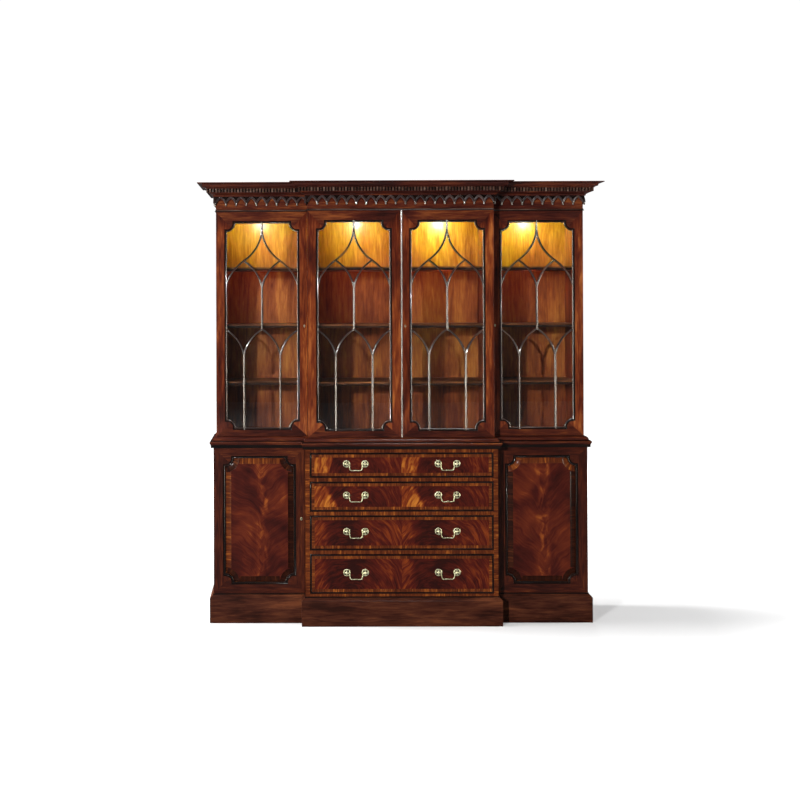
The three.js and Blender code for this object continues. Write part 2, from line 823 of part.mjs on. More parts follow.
function roundPost(radius, height) {
  const geometry = new THREE.CylinderGeometry(radius, radius, height + 2 * overrun, rearRoundSides);
  geometry.rotateX(Math.PI / 2);
  geometry.translate(0, 0, height / 2);
  return geometry;
}

// The unit ways across a line of points, lengthened at bends to keep the width.
function acrossWays(points) {
  return points.map((point, i) => {
    const before = points[Math.max(i - 1, 0)];
    const after = points[Math.min(i + 1, points.length - 1)];
    const first = point.clone().sub(before);
    const second = after.clone().sub(point);
    const one = first.lengthSq() > 0 ? first.normalize() : second.clone().normalize();
    const two = second.lengthSq() > 0 ? second.normalize() : one;
    const sum = flat(-one.y - two.y, one.x + two.x).normalize();
    return sum.divideScalar(sum.dot(flat(-one.y, one.x)));
  });
}

// A tracery bar along a line in front view: broad at the glass, narrow at the front.
function traceryBar(points) {
  const ways = acrossWays(points);
  const rear = -doorThickness / 2 + lipDepth;
  const front = -doorThickness / 2 + barSetback;
  const section = [[-barWidth / 2, rear], [barWidth / 2, rear], [barNose / 2, front], [-barNose / 2, front]];
  const rings = points.map((point, i) => section.map(([side, y]) => new THREE.Vector3(
    point.x + ways[i].x * side, y, point.y + ways[i].y * side,
  )));
  return skin(rings, section.map(([side, y]) => flat(side, y)));
}

// Tracery lines, as shares of the opening's half width and of its height. Each table is the
// control points of curves that join end to end.
const crownBarShares = [[0, 1.01], [0, 0.955]];
const ogeeShares = [[0, 0.968], [0.045, 0.875], [0.516, 0.8167], [0.92, 0.766], [1.02, 0.695]];
const innerArchShares = [[0.516, 0.8167], [0.11, 0.772], [0, 0.688]];
const centreBarShares = [[0, 0.71], [0, 0.475]];
const middleArchShares = [[0, 0.481], [0.42, 0.436], [0.516, 0.353]];
const sideArchShares = [[1.03, 0.478], [0.61, 0.436], [0.516, 0.353]];
const footBarShares = [[0.516, 0.362], [0.516, -0.01]];

function traceryLine(shares, spec, way) {
  const places = shares.map(([x, z]) => flat((way * x * spec.sightWidth) / 2, z * spec.sightHeight));
  if (places.length === 2) {
    return places;
  }
  const line = [places[0]];
  for (let i = 0; i + 2 < places.length; i += 2) {
    const curve = new THREE.QuadraticBezierCurve(places[i], places[i + 1], places[i + 2]);
    line.push(...curve.getPoints(barSteps).slice(1));
  }
  return line;
}

function traceryBody(spec) {
  const centre = [crownBarShares, centreBarShares].map((shares) => traceryLine(shares, spec, 1));
  const pairs = [ogeeShares, innerArchShares, middleArchShares, sideArchShares, footBarShares];
  const paired = pairs.flatMap((shares) => [1, -1].map((way) => traceryLine(shares, spec, way)));
  const bars = join([...centre, ...paired].map(traceryBar));
  const sight = new THREE.Shape(indentedOutline(spec.sightWidth, spec.sightHeight, -fit)
    .map((p) => flat(p.x, p.y + spec.sightHeight / 2)));
  return bars.intersect(toSolid(standingBoard(sight, 2 * doorThickness, -doorThickness)));
}

// A cupboard door's panel: a board in the rebate. Its margin follows the opening, and a bevel
// carries it up to the raised field.
function fieldedPanel(spec) {
  const infillHalf = flat(spec.sightWidth / 2 + rebate - fit, spec.sightHeight / 2 + rebate - fit);
  const board = new THREE.Shape(rectangle(-infillHalf.x, infillHalf.x, -infillHalf.y, infillHalf.y));
  const rings = [
    [-2 * fit, doorPanelThickness / 2], [-2 * fit, 0], [-panelMargin, -marginRise],
    [-fieldBorder, -fieldRise],
  ].map(([grow, y]) => indentedOutline(spec.sightWidth, spec.sightHeight, grow).map(
    (p) => new THREE.Vector3(p.x, y, p.y),
  ));
  const outline = indentedOutline(spec.sightWidth, spec.sightHeight, -fieldBorder);
  return toGeometry(join([standingBoard(board, doorPanelThickness, 0), skin(rings, outline)]));
}

// A leaf stands in a group at its pin, so that turning the group opens the leaf. Its opening is
// what its stiles and rails leave.
function addLeaf(spec) {
  const leaf = new THREE.Group();
  const [x, y] = pinPlace(spec.edge, spec.hand, spec.face);
  const sightWidth = spec.width - spec.pinStile - spec.freeStile;
  const sightHeight = spec.height - spec.topRail - spec.bottomRail;
  const sightX = spec.hand * (spec.pinStile + sightWidth / 2 - pinInset);
  const form = { ...spec, sightWidth, sightHeight, sightX };
  leaf.position.set(x, y, spec.floor + doorReveal);
  cabinet.add(leaf);
  addMesh(leaf, spec.frameName, toGeometry(leafFrame(form)), wood);
  const infillFront = -doorThickness / 2 + lipDepth + fit;
  const sightMiddle = spec.bottomRail + sightHeight / 2;
  if (spec.panelName) {
    addMesh(leaf, spec.panelName, fieldedPanel(form), flameWood, sightX, infillFront, sightMiddle);
  }
  if (spec.glassName) {
    const paneWidth = sightWidth + 2 * (rebate - fit);
    const paneHeight = sightHeight + 2 * (rebate - fit);
    addMesh(
      leaf, spec.glassName, new THREE.BoxGeometry(paneWidth, glassThickness, paneHeight),
      glass, sightX, infillFront + glassThickness / 2, sightMiddle,
    );
    addMesh(leaf, spec.traceryName, toGeometry(traceryBody(form)), wood, sightX, 0, spec.bottomRail);
  }
}

const wingLeafWidth = upperHalf - centreHalf - doorReveal;
const centreLeafWidth = centreHalf - meetingGap / 2;
const displayLeaf = {
  height: upperCaseHeight - 2 * doorReveal, floor: upperFloor, bottomRail: upperBottomRail,
  topRail: upperTopRail, pinStile: caseStile,
};
const displayLeaves = [
  ['wing_left', 1, -upperHalf, wingFace, wingLeafWidth, breakStile],
  ['centre_left', 1, -centreHalf, centreFace, centreLeafWidth, caseStile],
  ['centre_right', -1, centreHalf, centreFace, centreLeafWidth, caseStile],
  ['wing_right', -1, upperHalf, wingFace, wingLeafWidth, breakStile],
];
for (const [name, hand, edge, face, width, freeStile] of displayLeaves) {
  addLeaf({
    ...displayLeaf, hand, edge, face, width, freeStile, frameName: `door_frame_${name}`,
    glassName: `glass_${name}`, traceryName: `tracery_${name}`, astragal: name === 'centre_right',
  });
}

const cupboardLeafWidth = baseHalf - baseCentreHalf - doorReveal;
for (const [name, hand, edge] of [['left', 1, -baseHalf], ['right', -1, baseHalf]]) {
  addLeaf({
    hand, edge, face: baseWingFace, width: cupboardLeafWidth, floor: plinthHeight,
    height: baseCaseHeight - 2 * doorReveal, bottomRail: panelBottomRail, topRail: panelTopRail,
    pinStile: panelCaseStile, freeStile: panelBreakStile,
    frameName: `cupboard_door_${name}`, panelName: `cupboard_panel_${name}`,
  });
}

// Drawers

const openingHalf = baseCentreHalf - frameStile;
const shareSum = drawerShares.reduce((sum, share) => sum + share);
const drawerClear = baseCaseHeight - topRail - bottomRail - midRail * (drawerShares.length - 1);
const drawerOpenings = [];
let openingTop = baseTop - topRail;
for (const share of drawerShares) {
  const height = (drawerClear * share) / shareSum;
  drawerOpenings.push({ floor: openingTop - height, height });
  openingTop -= height + midRail;
}

// The drawers' frame: stiles and rails at the front, and dust boards behind all rails but the
// lowest, on which the drawers run.
function drawerFrameBody() {
  const shape = new THREE.Shape(rectangle(
    -baseCentreHalf, baseCentreHalf, plinthHeight + fit, baseTop - fit,
  ));
  for (const opening of drawerOpenings) {
    shape.holes.push(new THREE.Path(rectangle(
      -openingHalf, openingHalf, opening.floor, opening.floor + opening.height,
    )));
  }
  const boards = drawerOpenings.slice(0, -1).map((opening) => {
    const top = opening.floor + doorReveal - fit;
    return block(
      -baseCentreHalf + panelThickness + fit, baseCentreHalf - panelThickness - fit,
      frameBack - overrun, boardRear - drawerRearGap / 2, top - dustBoardThickness, top,
    );
  });
  // Above each rail's edge the boards stop at the frame's back.
  const trims = drawerOpenings.slice(0, -1).map((opening) => block(
    -openingHalf, openingHalf, frameBack - overrun - fit, frameBack,
    opening.floor, opening.floor + 2 * doorReveal,
  ));
  return cut(join([standingBoard(shape, frameDepth, baseCentreFace), ...boards]), trims);
}

addMesh(cabinet, 'drawer_frame', toGeometry(drawerFrameBody()), wood);

// A drawer in its own frame: the origin is at the foot of its front, in the middle of its face.
function drawerBody(opening) {
  const half = openingHalf - doorReveal;
  const height = opening.height - 2 * doorReveal;
  const boxHalf = half - drawerSideGap;
  const boxTop = height - drawerSideDrop;
  const boxRear = boardRear - drawerRearGap - baseCentreFace;
  const beadOuter = new THREE.Shape(rectangle(-half, half, 0, height));
  beadOuter.holes.push(new THREE.Path(rectangle(
    -half + cockbeadWidth, half - cockbeadWidth, cockbeadWidth, height - cockbeadWidth,
  )));
  const pieces = [
    block(-half, half, 0, drawerFrontThickness, 0, height),
    block(-boxHalf, boxHalf, drawerFrontThickness / 2, boxRear, 0, boxTop),
    standingBoard(beadOuter, cockbeadRise + drawerFrontThickness / 4, -cockbeadRise),
  ];
  const bores = [];
  const level = height / 2 + pullRise;
  for (const pull of [-pullSpacing / 2, pullSpacing / 2]) {
    for (const end of [-pullBoring / 2, pullBoring / 2]) {
      pieces.push(...rosetteAndPost(pull + end, level));
      bores.push(postBore(pull + end, level));
    }
  }
  const pocket = block(
    -boxHalf + drawerSideThickness, boxHalf - drawerSideThickness,
    drawerFrontThickness, boxRear - drawerSideThickness, drawerBottomThickness, boxTop + overrun,
  );
  return cut(join(pieces), [pocket, ...bores]);
}

function rosetteAndPost(x, z) {
  const sunk = cockbeadRise;
  const rosette = new THREE.CylinderGeometry(
    rosetteRadius, rosetteRadius, rosetteThickness + sunk, rosetteSides,
  );
  rosette.translate(x, (sunk - rosetteThickness) / 2, z);
  const outline = [
    flat(0, -postReach), flat(postTipRadius, -postReach), flat(postRadius, -postReach + postTipLength),
    flat(postRadius, sunk), flat(0, sunk),
  ];
  const post = new THREE.LatheGeometry(outline, postSides);
  post.translate(x, 0, z);
  return [rosette, post];
}

function postBore(x, z) {
  const radius = bailRadius + pinClearance;
  const geometry = new THREE.CylinderGeometry(radius, radius, 2 * (postRadius + overrun), bailSides);
  geometry.rotateZ(Math.PI / 2);
  geometry.translate(x, -pivotReach, z);
  return geometry;
}

// Half of a bail's line, from inside its post to the foot, as shares of half the boring and of
// the drop.
const bailShares = [[0.84, 0], [0.765, -0.1], [0.715, -0.34], [0.695, -0.62], [0.63, -0.88], [0.5, -1]];

function bailBody() {
  const half = pullBoring / 2;
  const right = [
    flat(half - bailPinInset, 0), ...bailShares.map(([x, z]) => flat(half * x, bailDrop * z)),
  ];
  const left = right.map((p) => flat(-p.x, p.y)).reverse();
  const line = [...right, ...left];
  const ways = acrossWays(line);
  const turn = (k) => ((k + 0.5) * 2 * Math.PI) / bailSides;
  const rings = line.map((point, i) => Array.from({ length: bailSides }, (_, k) => new THREE.Vector3(
    point.x + ways[i].x * bailRadius * Math.cos(turn(k)),
    bailRadius * Math.sin(turn(k)),
    point.y + ways[i].y * bailRadius * Math.cos(turn(k)),
  )));
  const contour = Array.from({ length: bailSides }, (_, k) => flat(Math.cos(turn(k)), Math.sin(turn(k))));
  return toGeometry(toSolid(skin(rings, contour)));
}

drawerOpenings.forEach((opening, i) => {
  const drawer = new THREE.Group();
  drawer.position.set(0, baseCentreFace, opening.floor + doorReveal);
  cabinet.add(drawer);
  addMesh(drawer, `drawer_${i + 1}`, toGeometry(drawerBody(opening)), flameWood);
  const level = opening.height / 2 - doorReveal + pullRise;
  for (const [side, x] of [['left', -pullSpacing / 2], ['right', pullSpacing / 2]]) {
    addMesh(drawer, `bail_${i + 1}_${side}`, bailBody(), brass, x, -pivotReach, level);
  }
});

export default cabinet;
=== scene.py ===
import math

import bpy
import numpy as np
from mathutils import Matrix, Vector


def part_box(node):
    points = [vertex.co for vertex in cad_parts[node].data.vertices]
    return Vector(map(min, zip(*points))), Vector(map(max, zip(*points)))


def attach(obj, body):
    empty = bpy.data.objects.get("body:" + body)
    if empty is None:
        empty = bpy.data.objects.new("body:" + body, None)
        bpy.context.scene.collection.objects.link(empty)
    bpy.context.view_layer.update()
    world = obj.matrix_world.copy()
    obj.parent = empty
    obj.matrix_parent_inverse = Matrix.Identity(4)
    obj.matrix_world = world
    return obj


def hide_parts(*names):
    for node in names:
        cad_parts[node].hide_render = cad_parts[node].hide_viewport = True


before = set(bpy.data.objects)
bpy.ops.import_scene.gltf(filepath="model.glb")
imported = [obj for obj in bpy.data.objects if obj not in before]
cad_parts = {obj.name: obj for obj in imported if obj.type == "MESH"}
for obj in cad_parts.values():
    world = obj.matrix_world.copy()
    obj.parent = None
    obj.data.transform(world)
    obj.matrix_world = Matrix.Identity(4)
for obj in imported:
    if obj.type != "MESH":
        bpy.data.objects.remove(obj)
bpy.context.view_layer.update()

print("frame loaded:", len(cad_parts), "nodes")

# Sizes are in millimetres, and putMesh turns them into metres.
case = {
    "upperHalf": 958, "centreHalf": 481, "backFace": 261, "wingFace": -94, "centreFace": -169,
    "friezeFloor": 2140, "corniceFloor": 2217, "top": 2286,
    "baseProud": 15, "plinthTop": 151, "baseTop": 908, "boardRear": 252.7, "fit": 0.3,
}


# ---- shells: closed skins of points, worked out as whole arrays

def shell(points, groups, grain, mat=0):
    # Faces look outwards: six times the volume, summed over each face's fan, has to be positive.
    points = np.asarray(points, float).reshape(-1, 3)
    sixfold = 0.0
    for group in groups:
        first = np.broadcast_to(points[group[:, :1]], points[group[:, 1:-1]].shape)
        sixfold += np.sum(first * np.cross(points[group[:, 1:-1]], points[group[:, 2:]]))
    if sixfold < 0:
        groups = [group[:, ::-1] for group in groups]
    return {"points": points, "groups": groups, "grain": np.asarray(grain, float).reshape(-1, 3), "mat": mat}


def loft(rings, grain, mat=0, loop=False):
    # A skin over rings: each point joins its neighbour on this ring and both on the next one. Open ends get flat caps.
    rings = np.asarray(rings, float)
    rows, count = rings.shape[:2]
    i, j = np.meshgrid(np.arange(rows if loop else rows - 1), np.arange(count), indexing="ij")
    here, there, k = i * count, (i + 1) % rows * count, (j + 1) % count
    groups = [np.stack([here + j, there + j, there + k, here + k], -1).reshape(-1, 4)]
    if not loop:
        groups += [np.arange(count)[None], (rows - 1) * count + np.arange(count)[None, ::-1]]
    return shell(rings, groups, grain, mat)


def joined(*parts):
    # Parts of a coordinate side by side in a last axis, each stretched to the others' shape.
    return np.stack(np.broadcast_arrays(*parts), -1)


def ruled(rows):
    # Each row is a line in front view at one depth, and rings run from row to row.
    return np.stack([joined(line[:, 0], depth, line[:, 1]) for line, depth in rows], 1)


def ringLength(points):
    # How far along a line each of its points lies: the sum of the steps before it.
    return np.concatenate([[0], np.cumsum(np.linalg.norm(np.diff(points, axis=0), axis=1))])


def raised(outline, levels):
    # An outline in plan, or a line in it, repeated at each height.
    return np.stack([joined(*np.asarray(outline, float).T, z) for z in levels])


def woodBox(low, high, along="z", mat=0, seed=0.0):
    # Eight corners between two opposite ones. The grain's third part runs along the named axis.
    corner = np.array([[0, 0, 0], [1, 0, 0], [1, 1, 0], [0, 1, 0], [0, 0, 1], [1, 0, 1], [1, 1, 1], [0, 1, 1]])
    points = np.where(corner, np.asarray(high, float), np.asarray(low, float))
    return loft(points.reshape(2, 4, 3), turned(points, along, seed), mat)


def turned(points, along, seed):
    # Grain coordinates: the axis along the grain comes last, and each board is cut from its own place in the log.
    order = {"x": [1, 2, 0], "y": [2, 0, 1], "z": [0, 1, 2]}[along]
    return np.asarray(points, float).reshape(-1, 3)[:, order] + np.array([137.0, 71.0, 913.0]) * seed


def prism(outline, near, far, along, mat=0, seed=0.0):
    # A flat outline in front view (x, z), carried from one depth to another.
    rings = raised(outline, (near, far))[..., [0, 2, 1]]
    return loft(rings, turned(rings, along, seed), mat)


def lathe(profile, centre, sides, mat=0, tilt="front"):
    # A profile of (radius, reach) turned about an axis through centre: x = r cos a, z = r sin a, and y falls by reach.
    profile = np.asarray(profile, float)
    angle = np.arange(sides) * 2 * np.pi / sides
    r, reach = profile[:, :1], profile[:, 1:]
    a, b = r * np.cos(angle), r * np.sin(angle)
    rings = joined(a, -reach, b) if tilt == "front" else joined(a, b, reach)
    return loft(rings + np.asarray(centre, float), joined(a, b, reach), mat)


def pathWays(path):
    # The unit way across a line in front view at each point, lengthened at bends to keep the width.
    step = np.diff(path, axis=0)
    step /= np.linalg.norm(step, axis=1, keepdims=True)
    before, after = np.vstack([step[:1], step]), np.vstack([step, step[-1:]])
    side = joined(-(before + after)[:, 1], (before + after)[:, 0])
    side /= np.linalg.norm(side, axis=1, keepdims=True)
    return side / np.sum(side * joined(-before[:, 1], before[:, 0]), axis=1, keepdims=True)


def carried(path, section, mat=0, seed=0.0):
    # A section of (across, depth) carried along a line in front view: point + way * across, at depth.
    path, section = np.asarray(path, float), np.asarray(section, float)
    place = path[:, None] + pathWays(path)[:, None] * section[None, :, :1]
    grain = joined(*section.T, ringLength(path)[:, None] + seed * 913)
    return loft(joined(place[..., 0], section[:, 1], place[..., 1]), grain, mat)


def bezier(a, b, c, steps):
    # A bend from a to c that leans towards b: (1 - t) squared * a + 2 t (1 - t) * b + t squared * c.
    t = np.linspace(0, 1, steps + 1)[:, None]
    return (1 - t) ** 2 * np.asarray(a) + 2 * t * (1 - t) * np.asarray(b) + t ** 2 * np.asarray(c)


def ogee(a, b, steps=14):
    # Height goes evenly and reach by t * t * (3 - 2 t), without the first point.
    t = np.arange(1, steps + 1) / steps
    return joined(a[0] + (b[0] - a[0]) * t * t * (3 - 2 * t), a[1] + (b[1] - a[1]) * t)


def quarterRound(a, b, steps=8):
    # A quarter circle that leaves a in the first part's direction: by sin t across and 1 - cos t up.
    t = np.arange(1, steps + 1) / steps * np.pi / 2
    return joined(a[0] + (b[0] - a[0]) * np.sin(t), a[1] + (b[1] - a[1]) * (1 - np.cos(t)))


def cove(a, b, steps=10):
    # A quarter circle that leaves a in the second part's direction: by 1 - cos t across and sin t up.
    t = np.arange(1, steps + 1) / steps * np.pi / 2
    return joined(a[0] + (b[0] - a[0]) * (1 - np.cos(t)), a[1] + (b[1] - a[1]) * np.sin(t))


def halfRound(a, b, bulge, steps=8):
    # An arch from a to b: evenly along the chord by (1 - cos t) / 2, and out of it by bulge * sin t.
    t = np.linspace(0, np.pi, steps + 1)[:, None]
    a, b = np.asarray(a, float), np.asarray(b, float)
    way = np.array([(b - a)[1], -(b - a)[0]]) / np.linalg.norm(b - a)
    return a + (b - a) * (1 - np.cos(t)) / 2 + way * bulge * np.sin(t)


def planLine(proud):
    # The case's front line in plan, round both steps of the breakfront, standing proud by one distance.
    proud = np.asarray(proud, float)
    side, step = case["upperHalf"] + proud, case["centreHalf"] + proud
    wing, centre = case["wingFace"] - proud, case["centreFace"] - proud
    half = [(step, centre), (step, wing), (side, wing), (side, case["backFace"])]
    corners = [(-x, y) for x, y in half[::-1]] + half
    return np.stack([joined(*corner) for corner in corners], -2)


def mitredRuns(profile, mat=0, seed=0.0):
    # A profile of (proud, height) carried along each straight run of the front line and mitred at its ends.
    profile = np.asarray(profile, float)
    lines = planLine(profile[:, 0])
    runs = []
    for k in range(lines.shape[1] - 1):
        rings = np.stack([joined(*lines[:, end].T, profile[:, 1]) for end in (k, k + 1)])
        axis = int(np.argmax(np.abs(lines[0, k + 1] - lines[0, k])))
        along = rings[..., axis] + (seed + k) * 371
        runs.append(loft(rings, joined(*profile.T, along), mat))
    return runs


def addObject(name, data):
    # An object that stands in the scene.
    thing = bpy.data.objects.new(name, data)
    bpy.context.scene.collection.objects.link(thing)
    return thing


def posed(thing, right, up, back, place):
    # The object's three axes are its matrix's columns, and the place is the last one.
    thing.matrix_world = Matrix(np.vstack([np.column_stack([right, up, back, place]), [0, 0, 0, 1]]).tolist())


def putMesh(name, shells, materials, body, replaced=(), bevel=0.0, smooth=40, segments=2):
    # All shells become one piece in metres, at the origin. Edges sharper than the smoothing angle stay crisp.
    points = np.concatenate([s["points"] for s in shells]) * 0.001
    grain = np.concatenate([s["grain"] for s in shells]) * 0.001
    faces, index, start = [], [], 0
    for s in shells:
        for group in s["groups"]:
            faces += (group + start).tolist()
            index += [s["mat"]] * len(group)
        start += len(s["points"])
    mesh = bpy.data.meshes.new(name)
    mesh.from_pydata(points, [], faces)
    store = mesh.attributes.new("grain", "FLOAT_VECTOR", "POINT")
    store.data.foreach_set("vector", grain.astype(np.float32).ravel())
    mesh.polygons.foreach_set("material_index", index)
    mesh.polygons.foreach_set("use_smooth", np.ones(len(faces), bool))
    mesh.set_sharp_from_angle(angle=math.radians(smooth))
    for material in materials:
        mesh.materials.append(material)
    mesh.update()
    piece = addObject(name, mesh)
    if bevel:
        rounding = piece.modifiers.new("roundedArris", "BEVEL")
        rounding.width = bevel * 0.001
        rounding.segments = segments
        rounding.limit_method = "ANGLE"
        rounding.angle_limit = math.radians(50)
        rounding.harden_normals = True
    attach(piece, body)
    if replaced:
        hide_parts(*replaced)
    return piece


# ---- finishes

def feed(tree, node, inputs):
    # Each input takes a link from another node's output, or a plain value.
    for key, value in inputs.items():
        if isinstance(value, bpy.types.NodeSocket):
            tree.links.new(value, node.inputs[key])
        else:
            node.inputs[key].default_value = value


def addNode(tree, kind, inputs=None, **settings):
    # A shader node. Its settings come first, because some of them change which inputs it has.
    node = tree.nodes.new("ShaderNode" + kind)
    for key, value in settings.items():
        setattr(node, key, value)
    feed(tree, node, inputs or {})
    return node


def newFinish(name, shine):
    # A material, its nodes and its main shader, which starts out with the given shine.
    material = bpy.data.materials.new(name)
    material.use_nodes = True
    tree = material.node_tree
    shader = tree.nodes["Principled BSDF"]
    feed(tree, shader, shine)
    return material, tree, shader


def linear(red, green, blue):
    # A screen colour from 0 to 255 as the linear colour that a shader takes.
    part = np.array([red, green, blue]) / 255
    part = np.where(part <= 0.04045, part / 12.92, ((part + 0.055) / 1.055) ** 2.4)
    return (*part.tolist(), 1.0)


def ramp(tree, factor, stops):
    # Colours at places from 0 to 1, and straight blends between them.
    node = addNode(tree, "ValToRGB", {"Fac": factor})
    elements, stops = node.color_ramp.elements, list(stops)
    while len(elements) < len(stops):
        elements.new(0.5)
    for element, (place, colour) in zip(elements, stops):
        element.position = place
        element.color = colour
    return node.outputs["Color"]


def noise(tree, vector, stretch, detail=3.0, warp=0.0, roughness=0.5):
    # A cloudy value of about 0 to 1 at vector * stretch. A larger stretch makes it finer along that axis.
    scaled = addNode(tree, "VectorMath", {0: vector, 1: stretch}, operation="MULTIPLY")
    node = addNode(tree, "TexNoise", {
        "Vector": scaled.outputs[0], "Scale": 1.0, "Detail": detail, "Distortion": warp, "Roughness": roughness,
    })
    return node.outputs["Fac"]


def maths(tree, operation, first, second=None):
    inputs = {0: first} if second is None else {0: first, 1: second}
    return addNode(tree, "Math", inputs, operation=operation).outputs[0]


def plus(tree, first, second):
    return maths(tree, "ADD", first, second)


def minus(tree, first, second):
    return maths(tree, "SUBTRACT", first, second)


def times(tree, first, second):
    return maths(tree, "MULTIPLY", first, second)


def summed(tree, terms):
    # Each term is a value, its middle and its strength: a half and strength * (value - middle), all added up.
    total = 0.5
    for value, middle, strength in terms:
        total = plus(tree, times(tree, minus(tree, value, middle), strength), total)
    return total


def blend(tree, factor, first, second):
    # (1 - factor) * first + factor * second.
    return addNode(tree, "Mix", {0: factor, 6: first, 7: second}, data_type="RGBA").outputs[2]


def spread(tree, value, low, high, start=0.0, end=1.0, course="SMOOTHSTEP"):
    # From start at low to end at high, and no further: eased at both ends, or evenly by the LINEAR course.
    inputs = {"Value": value, 1: low, 2: high, 3: start, 4: end}
    return addNode(tree, "MapRange", inputs, interpolation_type=course).outputs[0]


def grainVector(tree, along):
    # Made pieces carry their grain as an attribute. CAD boards take it from Object coordinates, turned to the axis.
    if along == "grain":
        return addNode(tree, "Attribute", attribute_name="grain").outputs["Vector"]
    place = addNode(tree, "TexCoord").outputs["Object"]
    if along == "z":
        return place
    part = addNode(tree, "SeparateXYZ", {0: place}).outputs
    order = {"x": (1, 2, 0), "y": (2, 0, 1)}[along]
    return addNode(tree, "CombineXYZ", {k: part[i] for k, i in enumerate(order)}).outputs[0]


def finish(roughness, specular, coat, coatRoughness=0.03, coatIor=1.5, ior=1.5):
    # How a wood is finished: its own gloss, and the lacquer or wax over it.
    return {
        "Roughness": roughness, "IOR": ior, "Specular IOR Level": specular,
        "Coat Weight": coat, "Coat Roughness": coatRoughness, "Coat IOR": coatIor,
    }


lacquer = finish(0.42, 0.02, 0.45, 0.09)
satin = finish(0.5, 0.04, 0.12, 0.25, ior=1.45)
dulled = finish(0.5, 0.02, 0.15, 0.15)
polish = finish(0.3, 0.04, 0.6, 0.13, 2.1)
raw = finish(0.7, 0.2, 0.0, ior=1.45)
# How fine each layer of a board's figure is across, across and along the grain, and how much it counts.
layers = {
    "broad": (9, 9, 2.2), "bands": (62, 62, 8), "streaks": (240, 240, 14), "pores": (1500, 1500, 60),
    "flecks": (120, 120, 16), "broadShare": 1.5, "bandShare": 1.1, "streakShare": 0.55, "endShade": 0.24,
    "poreShade": 0.35, "poreLimits": (0.56, 0.7), "glossier": -0.06, "duller": 0.08,
    "stops": (0.12, 0.42, 0.66, 0.95), "poreRelief": {"Strength": 0.12, "Distance": 0.0004},
}


def woodFinish(name, tone, along="grain", streak=1.0, figure=1.0, shine=lacquer, ticks=0.0, shadedEnds=None):
    # Broad figure, bands and streaks add up along the grain to a value, and the ramp gives its tone. Pores lie over it.
    material, tree, shader = newFinish(name, shine)
    vector = grainVector(tree, along)
    broad = noise(tree, vector, layers["broad"], 3, 0.6)
    bands = noise(tree, vector, layers["bands"], 5, 0.5, 0.6)
    streaks = noise(tree, vector, layers["streaks"], 3)
    pores = noise(tree, vector, layers["pores"], 2)
    terms = [(broad, 0.5, layers["broadShare"] * figure), (bands, 0.5, layers["bandShare"] * streak),
             (streaks, 0.5, layers["streakShare"] * streak)]
    if ticks:
        # Short bright flecks across a band, as a crossbanding shows them.
        terms.append((spread(tree, noise(tree, vector, layers["flecks"], 2, 0.4), 0.5, 0.72), 0.0, ticks))
    if shadedEnds:
        # Painted shade towards both ends of an upright: two heights where the darkening ends below, two where it starts
        # above.
        place = addNode(tree, "TexCoord").outputs["Object"]
        height = addNode(tree, "SeparateXYZ", {0: place}).outputs[2]
        middle = times(tree, spread(tree, height, *shadedEnds[:2]), spread(tree, height, shadedEnds[3], shadedEnds[2]))
        terms.append((middle, 1.0, layers["endShade"]))
    colour = ramp(tree, summed(tree, terms), zip(layers["stops"], tones[tone]))
    dark = times(tree, spread(tree, pores, *layers["poreLimits"]), layers["poreShade"])
    gloss = (shine["Roughness"] + layers[key] for key in ("glossier", "duller"))
    bump = addNode(tree, "Bump", {"Height": pores} | layers["poreRelief"])
    feed(tree, shader, {
        "Base Color": blend(tree, dark, colour, tones[tone][0]), "Normal": bump.outputs[0],
        "Roughness": spread(tree, streaks, 0.0, 1.0, *gloss, "LINEAR"),
    })
    return material


# Screen colours of each wood, from the darkest vessel to the lightest streak.
tones = {name: [linear(*colour) for colour in colours] for name, colours in {
    "mahogany": [(46, 14, 8), (84, 31, 15), (120, 55, 25), (174, 100, 46)],
    "side": [(42, 13, 8), (74, 29, 15), (100, 46, 22), (142, 78, 38)],
    "deep": [(34, 11, 8), (58, 21, 14), (80, 34, 19), (122, 64, 30)],
    # A darker copy of the mahogany for the lower case: painted shade, as the light falls off towards the floor.
    "base": [(28, 9, 6), (50, 17, 10), (72, 29, 15), (114, 58, 26)],
    "plinth": [(38, 16, 10), (60, 28, 18), (74, 38, 24), (100, 54, 32)],
    "band": [(46, 17, 10), (76, 33, 16), (106, 51, 22), (158, 88, 32)],
    # A darker copy of the banding: painted shade for the border strips turned from the light.
    "shadedBand": [(22, 9, 7), (36, 15, 10), (54, 24, 13), (92, 46, 22)],
    "bar": [(26, 12, 9), (42, 20, 14), (60, 34, 23), (96, 64, 44)],
    "black": [(10, 6, 5), (18, 9, 7), (26, 13, 9), (44, 22, 13)],
    # The ribs' greyed tones, the drops' pale tones and the dentils' greyed tones are painted highlights.
    "ribSheen": [(22, 14, 13), (42, 29, 28), (74, 57, 54), (122, 106, 102)],
    "drop": [(60, 50, 44), (96, 84, 76), (136, 122, 112), (180, 168, 158)],
    "dentil": [(34, 18, 14), (62, 40, 32), (88, 64, 54), (120, 98, 86)],
    "lining": [(62, 23, 12), (96, 46, 20), (118, 68, 28), (150, 99, 42)],
    "shelf": [(36, 17, 9), (58, 30, 15), (76, 42, 20), (104, 62, 32)],
    # The shelves' pale lip tones are a painted highlight.
    "lip": [(160, 112, 46), (204, 154, 70), (228, 190, 100), (246, 220, 150)],
    "drawer": [(150, 112, 72), (184, 144, 98), (204, 168, 120), (220, 188, 140)],
    "flame": [(38, 9, 6), (74, 21, 12), (120, 50, 18), (186, 112, 40)],
    "panel": [(36, 8, 6), (64, 19, 12), (94, 36, 18), (160, 84, 34)],
}.items()}
matt = dulled | {"Coat Weight": 0.05}
mahogany = woodFinish("mahogany", "mahogany")
deepWood = woodFinish("deepWood", "deep", shine=dulled)
# The lower case's darker copy of the mahogany is painted shade.
shadedBaseWood = woodFinish("shadedBaseWood", "base", shine=dulled, figure=0.6)
